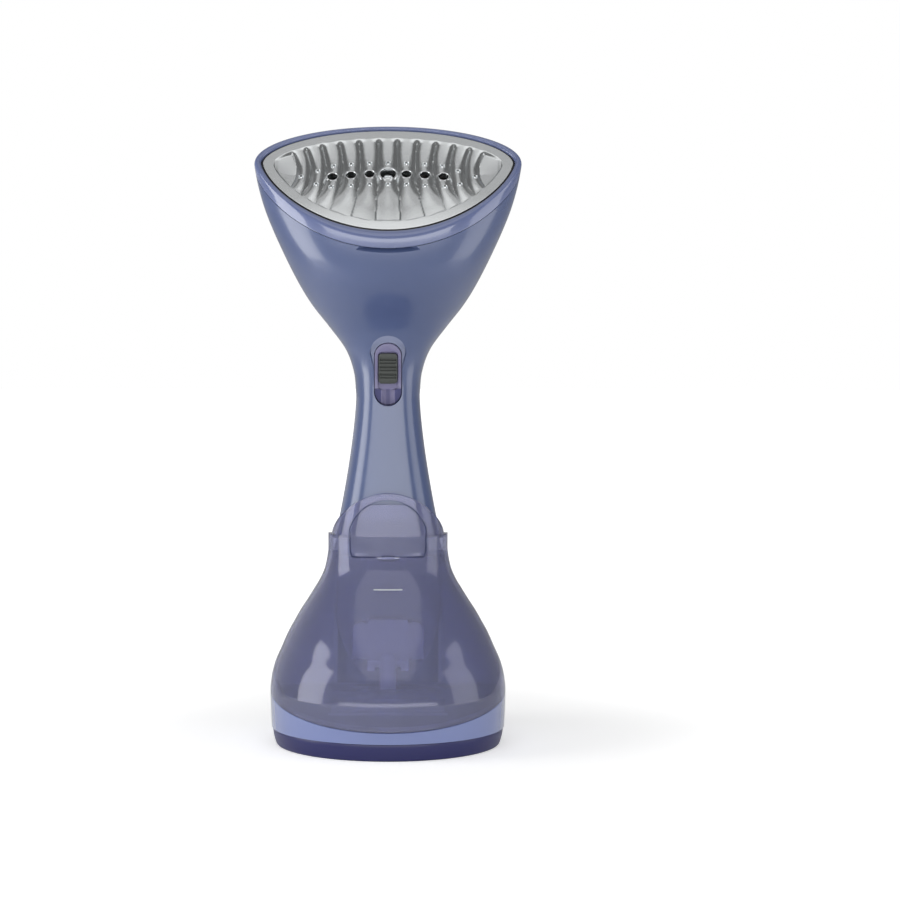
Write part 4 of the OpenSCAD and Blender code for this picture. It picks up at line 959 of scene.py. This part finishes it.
print("node helpers ready")

# %% A fine moulded grain
grain, grain_in, grain_out = group(
    "moulded_grain",
    [("Scale", "NodeSocketFloat", 900.0), ("Height", "NodeSocketFloat", .1)],
    [("Normal", "NodeSocketVector"), ("Mask", "NodeSocketFloat")])
grain_place = node(grain, "ShaderNodeTexCoord")
fine = node(grain, "ShaderNodeTexNoise", {"Vector": grain_place.outputs["Object"],
                                          "Scale": grain_in.outputs["Scale"],
                                          "Detail": 3.0, "Roughness": .6})
bump = node(grain, "ShaderNodeBump", {"Height": fine.outputs["Fac"],
                                      "Strength": grain_in.outputs["Height"], "Distance": .0002})
grain.links.new(bump.outputs["Normal"], grain_out.inputs["Normal"])
grain.links.new(fine.outputs["Fac"], grain_out.inputs["Mask"])
print("effect:", grain.name)

# %% A slow change of tone and gloss
tone, tone_in, tone_out = group(
    "slow_tone",
    [("Colour", "NodeSocketColor", (1, 1, 1, 1)), ("Change", "NodeSocketFloat", .06),
     ("Roughness", "NodeSocketFloat", .3), ("Spread", "NodeSocketFloat", .05),
     ("Scale", "NodeSocketFloat", 14.0)],
    [("Colour", "NodeSocketColor"), ("Roughness", "NodeSocketFloat")])
tone_place = node(tone, "ShaderNodeTexCoord")
slow = node(tone, "ShaderNodeTexNoise", {"Vector": tone_place.outputs["Object"],
                                         "Scale": tone_in.outputs["Scale"], "Detail": 2.0})
centred = sums(tone, "SUBTRACT", slow.outputs["Fac"], .5)
amount = sums(tone, "MULTIPLY", centred, tone_in.outputs["Change"])
strength = sums(tone, "ADD", amount, 1.0)
shade = node(tone, "ShaderNodeVectorMath", {0: tone_in.outputs["Colour"], "Scale": strength},
             operation="SCALE")
spread = sums(tone, "MULTIPLY", centred, tone_in.outputs["Spread"])
rough = sums(tone, "ADD", spread, tone_in.outputs["Roughness"])
tone.links.new(shade.outputs[0], tone_out.inputs["Colour"])
tone.links.new(rough, tone_out.inputs["Roughness"])
print("effect:", tone.name)

# %% A mask that paints light on the hollow above the trigger
# Its paler tone is painted light, standing in for the light from the front that the hollow catches. A curve
# holds the pear's half width at each height, as a share of ten millimetres
hollow, hollow_in, hollow_out = group("trigger_hollow_painted_light", [("Edge", "NodeSocketFloat", .0004)],
                                      [("Mask", "NodeSocketFloat")])
hollow_reach = 20.6
seat = node(hollow, "ShaderNodeTexCoord")
axes = node(hollow, "ShaderNodeSeparateXYZ", {0: seat.outputs["Object"]})
rise = ranged(hollow, axes.outputs["Z"], trigger_z * MM, (trigger_z + hollow_reach) * MM)
pear_curve = node(hollow, "ShaderNodeFloatCurve", {"Value": rise})
outline = pear_curve.mapping.curves[0]
for k in range(1, 8):
    outline.points.new(k / 8, pear_width(hollow_reach * k / 8) / 10)
outline.points[0].location = (0, pear_width(0) / 10)
outline.points[-1].location = (1, 0)
pear_curve.mapping.update()
from_middle = sums(hollow, "ABSOLUTE", axes.outputs["X"])
half_way = sums(hollow, "MULTIPLY", pear_curve.outputs[0], .01)
room_left = sums(hollow, "SUBTRACT", half_way, from_middle)
inside = ranged(hollow, room_left, 0.0, hollow_in.outputs["Edge"])
in_front = sums(hollow, "LESS_THAN", axes.outputs["Y"], 0.0)
above = ranged(hollow, axes.outputs["Z"], (trigger_z - 1) * MM, (trigger_z + 9) * MM)
both = sums(hollow, "MULTIPLY", inside, in_front)
all_three = sums(hollow, "MULTIPLY", both, above)
hollow.links.new(all_three, hollow_out.inputs["Mask"])
print("effect:", hollow.name)

# %% A mask that paints shade on the cheeks beside the finger track
# Its darker tone is painted shade, for the shadow of the pocket round the track. The curve runs from the
# middle to eight millimetres beside it: a dim painted shade along the middle of the track, nothing on its
# sides, and the full mask from four millimetres outward
cheeks, cheeks_in, cheeks_out = group("trigger_cheeks_painted_shade", [("Edge", "NodeSocketFloat", .0006)],
                                      [("Mask", "NodeSocketFloat")])
cheek_place = node(cheeks, "ShaderNodeTexCoord")
parts = node(cheeks, "ShaderNodeSeparateXYZ", {0: cheek_place.outputs["Object"]})
aside = sums(cheeks, "ABSOLUTE", parts.outputs["X"])
aside_share = sums(cheeks, "MULTIPLY", aside, 125.0)
across_curve = node(cheeks, "ShaderNodeFloatCurve", {"Value": aside_share})
across_line = across_curve.mapping.curves[0]
for at_x, value in ((.1, .5), (.2, 0.0), (.43, 0.0), (.5, 1.0)):
    across_line.points.new(at_x, value)
across_line.points[0].location = (0, .6)
across_line.points[-1].location = (1, 1)
across_curve.mapping.update()
under = sums(cheeks, "SUBTRACT", (trigger_z - 7.6) * MM, parts.outputs["Z"])
below = ranged(cheeks, under, 0.0, cheeks_in.outputs["Edge"])
dark = sums(cheeks, "MULTIPLY", across_curve.outputs[0], below)
cheeks.links.new(dark, cheeks_out.inputs["Mask"])
print("effect:", cheeks.name)

# %% The lines that polishing leaves
lines, lines_in, lines_out = group(
    "polishing_lines",
    [("Scale", "NodeSocketFloat", 500.0), ("Stretch", "NodeSocketVector", (1, .03, .03)),
     ("Height", "NodeSocketFloat", .05), ("Roughness", "NodeSocketFloat", .2),
     ("Spread", "NodeSocketFloat", .1)],
    [("Normal", "NodeSocketVector"), ("Roughness", "NodeSocketFloat")])
lines_place = node(lines, "ShaderNodeTexCoord")
drawn = node(lines, "ShaderNodeMapping", {"Vector": lines_place.outputs["Object"],
                                          "Scale": lines_in.outputs["Stretch"]})
hair = node(lines, "ShaderNodeTexNoise", {"Vector": drawn.outputs[0], "Scale": lines_in.outputs["Scale"],
                                          "Detail": 4.0})
hair_bump = node(lines, "ShaderNodeBump", {"Height": hair.outputs["Fac"],
                                           "Strength": lines_in.outputs["Height"], "Distance": .0001})
hair_middle = sums(lines, "SUBTRACT", hair.outputs["Fac"], .5)
hair_amount = sums(lines, "MULTIPLY", hair_middle, lines_in.outputs["Spread"])
hair_rough = sums(lines, "ADD", hair_amount, lines_in.outputs["Roughness"])
lines.links.new(hair_bump.outputs["Normal"], lines_out.inputs["Normal"])
lines.links.new(hair_rough, lines_out.inputs["Roughness"])
print("effects:", ", ".join(g.name for g in bpy.data.node_groups))

# %% [markdown]
# ## Recipes
# A recipe is a function that makes one finish of a kind: moulded plastic, polished metal or clear plastic.
# The shared effects feed its colour, its roughness and its normal, and plain numbers are set on the shader.
# Clear plastic looks darker where the eye glances along it, because it looks through more of it there, so
# a second tint is mixed in towards the edges.

# %% Recipes for moulded plastic and for metal
def material(name):
    made = bpy.data.materials.new(name)
    made.use_nodes = True
    return made, made.node_tree, made.node_tree.nodes["Principled BSDF"]

def set_plain(shader, **values):
    for key, value in values.items():
        shader.inputs[key.replace("_", " ")].default_value = value

def plastic(name, colour, rough, grain_height=.05, grain_scale=1400.0, coat=0.0, coat_rough=.1):
    made, tree, shader = material(name)
    tint = node(tree, "ShaderNodeGroup", {"Colour": (*colour, 1), "Change": .06, "Roughness": rough,
                                          "Spread": .04, "Scale": 14.0}, node_tree=tone)
    skin = node(tree, "ShaderNodeGroup", {"Scale": grain_scale, "Height": grain_height}, node_tree=grain)
    tree.links.new(tint.outputs["Colour"], shader.inputs["Base Color"])
    tree.links.new(tint.outputs["Roughness"], shader.inputs["Roughness"])
    tree.links.new(skin.outputs["Normal"], shader.inputs["Normal"])
    set_plain(shader, Coat_Weight=coat, Coat_Roughness=coat_rough, IOR=1.5)
    return made

def metal(name, colour, rough, stretch=(1, .03, .03), height=.05, spread=.1, scale=500.0):
    made, tree, shader = material(name)
    tint = node(tree, "ShaderNodeGroup", {"Colour": (*colour, 1), "Change": .05, "Roughness": rough,
                                          "Spread": .03, "Scale": 30.0}, node_tree=tone)
    polish = node(tree, "ShaderNodeGroup", {"Scale": scale, "Stretch": stretch, "Height": height,
                                            "Spread": spread}, node_tree=lines)
    tree.links.new(tint.outputs["Roughness"], polish.inputs["Roughness"])
    tree.links.new(tint.outputs["Colour"], shader.inputs["Base Color"])
    tree.links.new(polish.outputs["Roughness"], shader.inputs["Roughness"])
    tree.links.new(polish.outputs["Normal"], shader.inputs["Normal"])
    set_plain(shader, Metallic=1.0)
    return made

print("recipes for plastic and metal")

# %% Recipe for clear plastic, and a second tone under a mask
clear_ior = 1.46

def clear(name, colour, edge_colour, rough, grain_height, transmission):
    """Clear plastic whose tint deepens where the eye glances along it."""
    made, tree, shader = material(name)
    tint = node(tree, "ShaderNodeGroup", {"Colour": (*colour, 1), "Change": .05, "Roughness": rough,
                                          "Spread": .03, "Scale": 10.0}, node_tree=tone)
    skin = node(tree, "ShaderNodeGroup", {"Scale": 300.0, "Height": grain_height}, node_tree=grain)
    facing = node(tree, "ShaderNodeLayerWeight", {"Blend": .35})
    thick = node(tree, "ShaderNodeMix", {6: tint.outputs["Colour"]}, data_type="RGBA")
    thick.inputs[7].default_value = (*edge_colour, 1)
    tree.links.new(facing.outputs["Facing"], thick.inputs["Factor"])
    tree.links.new(thick.outputs[2], shader.inputs["Base Color"])
    tree.links.new(tint.outputs["Roughness"], shader.inputs["Roughness"])
    tree.links.new(skin.outputs["Normal"], shader.inputs["Normal"])
    set_plain(shader, Metallic=0.0, Transmission_Weight=transmission, IOR=clear_ior,
              Specular_IOR_Level=.3)
    return made

def mix_painted_tone(made, effect, colour):
    """Mixes a second tone in where the mask of a shared effect lies: painted light on the hollow above the
    trigger, painted shade on the cheeks beside its track.
    """
    tree = made.node_tree
    shader = tree.nodes["Principled BSDF"]
    was = shader.inputs["Base Color"].links[0].from_socket
    mask = node(tree, "ShaderNodeGroup", node_tree=effect)
    blend = node(tree, "ShaderNodeMix", data_type="RGBA")
    tree.links.new(mask.outputs["Mask"], blend.inputs["Factor"])
    tree.links.new(was, blend.inputs[6])
    blend.inputs[7].default_value = (*colour, 1)
    tree.links.new(blend.outputs[2], shader.inputs["Base Color"])
    return made

print("recipe for clear plastic, refraction", clear_ior)

# %% The finish of each slot
finishes = {
    # The paler tone on the hollow above the trigger is painted light
    "housing": mix_painted_tone(plastic("periwinkle_satin", (.071, .100, .216), .28, coat=.72, coat_rough=.13),
                     hollow, (.21, .24, .37)),
    # The rim is the housing's plastic; its lighter base colour is a painted highlight for the bright band
    # along it
    "rim": plastic("periwinkle_gloss", (.135, .165, .31), .16, coat=.8, coat_rough=.05,
                   grain_height=.02),
    "band": plastic("pale_periwinkle_gloss", (.178, .220, .435), .16, coat=1.0, coat_rough=.04,
                    grain_height=.02),
    "foot": plastic("navy_satin", (.021, .022, .105), .34, grain_height=.08),
    # The darker tone on the cheeks beside the finger track is painted shade
    "mauve": mix_painted_tone(plastic("mauve_satin", (.165, .155, .28), .36), cheeks, (.045, .047, .155)),
    "grey": plastic("grey_green_matt", (.038, .044, .040), .45, grain_height=.1),
    "seal": plastic("dark_rubber", (.012, .012, .016), .6, grain_height=.15, grain_scale=900.0),
    "frame": plastic("inner_frame", (.12, .13, .16), .5),
    "black": plastic("black_moulding", (.012, .012, .014), .45),
    "red": plastic("red_silicone", (.45, .05, .03), .4),
    "winding": plastic("varnished_winding", (.22, .07, .02), .3, coat=.5),
    "pump": plastic("pump_moulding", (.5, .5, .48), .45),
    "hose": plastic("milky_hose", (.55, .58, .6), .35),
    "board": plastic("lacquered_board", (.02, .12, .05), .3, coat=.4),
    "ceramic": plastic("thermostat_ceramic", (.62, .56, .45), .4),
    "tray": plastic("tray_moulding", (.05, .05, .055), .6),
    "soleplate": metal("polished_aluminium", (.74, .76, .77), .25, stretch=(.02, 1, 1), height=.03,
                       spread=.08),
    "cast": metal("cast_aluminium", (.45, .46, .47), .5, stretch=(1, 1, 1), height=.5, scale=300.0),
    "element": metal("element_sheath", (.35, .34, .34), .4),
    "steel": metal("plated_steel", (.62, .63, .66), .25),
    "brass": metal("turned_brass", (.75, .55, .22), .25, stretch=(1, 1, .05)),
    "tank": clear("smoky_clear", (.55, .57, .81), (.15, .16, .30), .09, .003, .84),
    "valve": clear("smoky_moulding", (.62, .62, .80), (.50, .50, .70), .3, .01, .45),
}
print(len(finishes), "finishes")

# %% Dressing every piece
def dress(piece, finish):
    piece.data.materials.clear()
    piece.data.materials.append(finish)
    for face in piece.data.polygons:
        face.material_index = 0

for piece in bpy.data.objects:
    if piece.type == "MESH" and "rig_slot" in piece:
        dress(piece, finishes[piece["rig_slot"]])
for name, cad in frame["nodes"].items():
    dress(cad, finishes[slots[name]])
print(len(frame["nodes"]), "CAD nodes dressed")

# %% [markdown]
# ## Studio
# The steamer stands on a pale floor that runs off into white. The camera sees the room and the far floor in
# full brightness, while the floor close by glows less and keeps the steamer's shadow. Mirrors and clear
# plastic show a part of the brightness, and the steamer is lit by much less, so its colours stay as mixed.
# Two upright soft boxes stand at the sides, the left one brighter. A wide one far in front lights the whole
# steamer, one overhead in front is what the tilted soleplate mirrors, and a faint one overhead behind
# lights the crown.

# %% The pale floor
bpy.ops.object.select_all(action="DESELECT")
bpy.ops.mesh.primitive_circle_add(vertices=96, radius=6, fill_type="NGON")
floor = bpy.context.object
floor.name = floor.data.name = "studio_floor"
shown_through, shown_mirrored, close_glow = .25, .15, .42
paper, tree, shader = material("pale_paper")
set_plain(shader, Roughness=.9, Specular_IOR_Level=.1)
grain_paper = node(tree, "ShaderNodeGroup", {"Colour": (.9, .9, .9, 1), "Change": .01, "Roughness": .9,
                                             "Scale": 3.0}, node_tree=tone)
tree.links.new(grain_paper.outputs["Colour"], shader.inputs["Base Color"])
path = node(tree, "ShaderNodeLightPath")
through = sums(tree, "MULTIPLY", path.outputs["Is Transmission Ray"], shown_through)
mirrored = sums(tree, "MULTIPLY", path.outputs["Is Glossy Ray"], shown_mirrored)
seen = sums(tree, "MAXIMUM", path.outputs["Is Camera Ray"], through)
seen_at_all = sums(tree, "MAXIMUM", seen, mirrored)
spot = node(tree, "ShaderNodeTexCoord")
far = node(tree, "ShaderNodeVectorMath", {0: spot.outputs["Object"]}, operation="LENGTH")
reach = ranged(tree, far.outputs["Value"], .1, .42, close_glow, 1.0, interpolation_type="SMOOTHSTEP")
lift = sums(tree, "MULTIPLY", seen_at_all, reach)
set_plain(shader, Emission_Color=(1, 1, 1, 1))
tree.links.new(lift, shader.inputs["Emission Strength"])
dress(floor, paper)
print("floor:", floor.name, "with", paper.name)

# %% The room round it
room_light, room_mirrored = .245, .13
world = bpy.data.worlds.new("studio")
bpy.context.scene.world = world
world.use_nodes = True
tree = world.node_tree
back = tree.nodes["Background"]
path = node(tree, "ShaderNodeLightPath")
toward = node(tree, "ShaderNodeTexCoord")
split = node(tree, "ShaderNodeSeparateXYZ", {0: toward.outputs["Generated"]})
side = ranged(tree, split.outputs["X"], -.5, .5, .55, .15)
behind = ranged(tree, split.outputs["Y"], .2, .7, 0.0, side)
glossy = sums(tree, "MULTIPLY", path.outputs["Is Glossy Ray"], behind)
through = sums(tree, "MULTIPLY", path.outputs["Is Transmission Ray"], shown_through)
seen = sums(tree, "MAXIMUM", path.outputs["Is Camera Ray"], through)
seen_at_all = sums(tree, "MAXIMUM", seen, glossy)
room = ranged(tree, path.outputs["Is Glossy Ray"], 0.0, 1.0, room_light, room_mirrored)
level = ranged(tree, seen_at_all, 0.0, 1.0, room, 1.0)
back.inputs["Color"].default_value = (1, 1, 1, 1)
tree.links.new(level, back.inputs["Strength"])
print("world:", world.name)

# %% Lamps
def softbox(name, place, aim, width, height, power):
    """A flat lamp turned towards its aim; sizes in metres, power in watts."""
    data = bpy.data.lights.new(name, "AREA")
    data.shape = "RECTANGLE"
    data.size = width
    data.size_y = height
    data.energy = power
    lamp = bpy.data.objects.new(name, data)
    bpy.context.scene.collection.objects.link(lamp)
    lamp.location = place
    lamp.rotation_euler = (Vector(aim) - Vector(place)).to_track_quat("-Z", "Y").to_euler()

softbox("left_box", (-.5, -.125, .255), (0, 0, .255), .27, .51, 1.65)
softbox("right_box", (.5, -.125, .255), (0, 0, .255), .27, .51, .72)
softbox("front_box", (0, -1.55, .225), (0, 0, .2), 3.2, .59, 18.5)
softbox("top_box", (0, -.67, 1.3), (0, -.67, 0), 1.0, 1.0, 3.0)
softbox("crown_box", (0, .35, 1.3), (0, .35, 0), .5, .9, .54)

# %% [markdown]
# ## View
# The colours are shown through the standard view transform.

# %% The view transform
view = bpy.context.scene.view_settings
view.view_transform = "Standard"
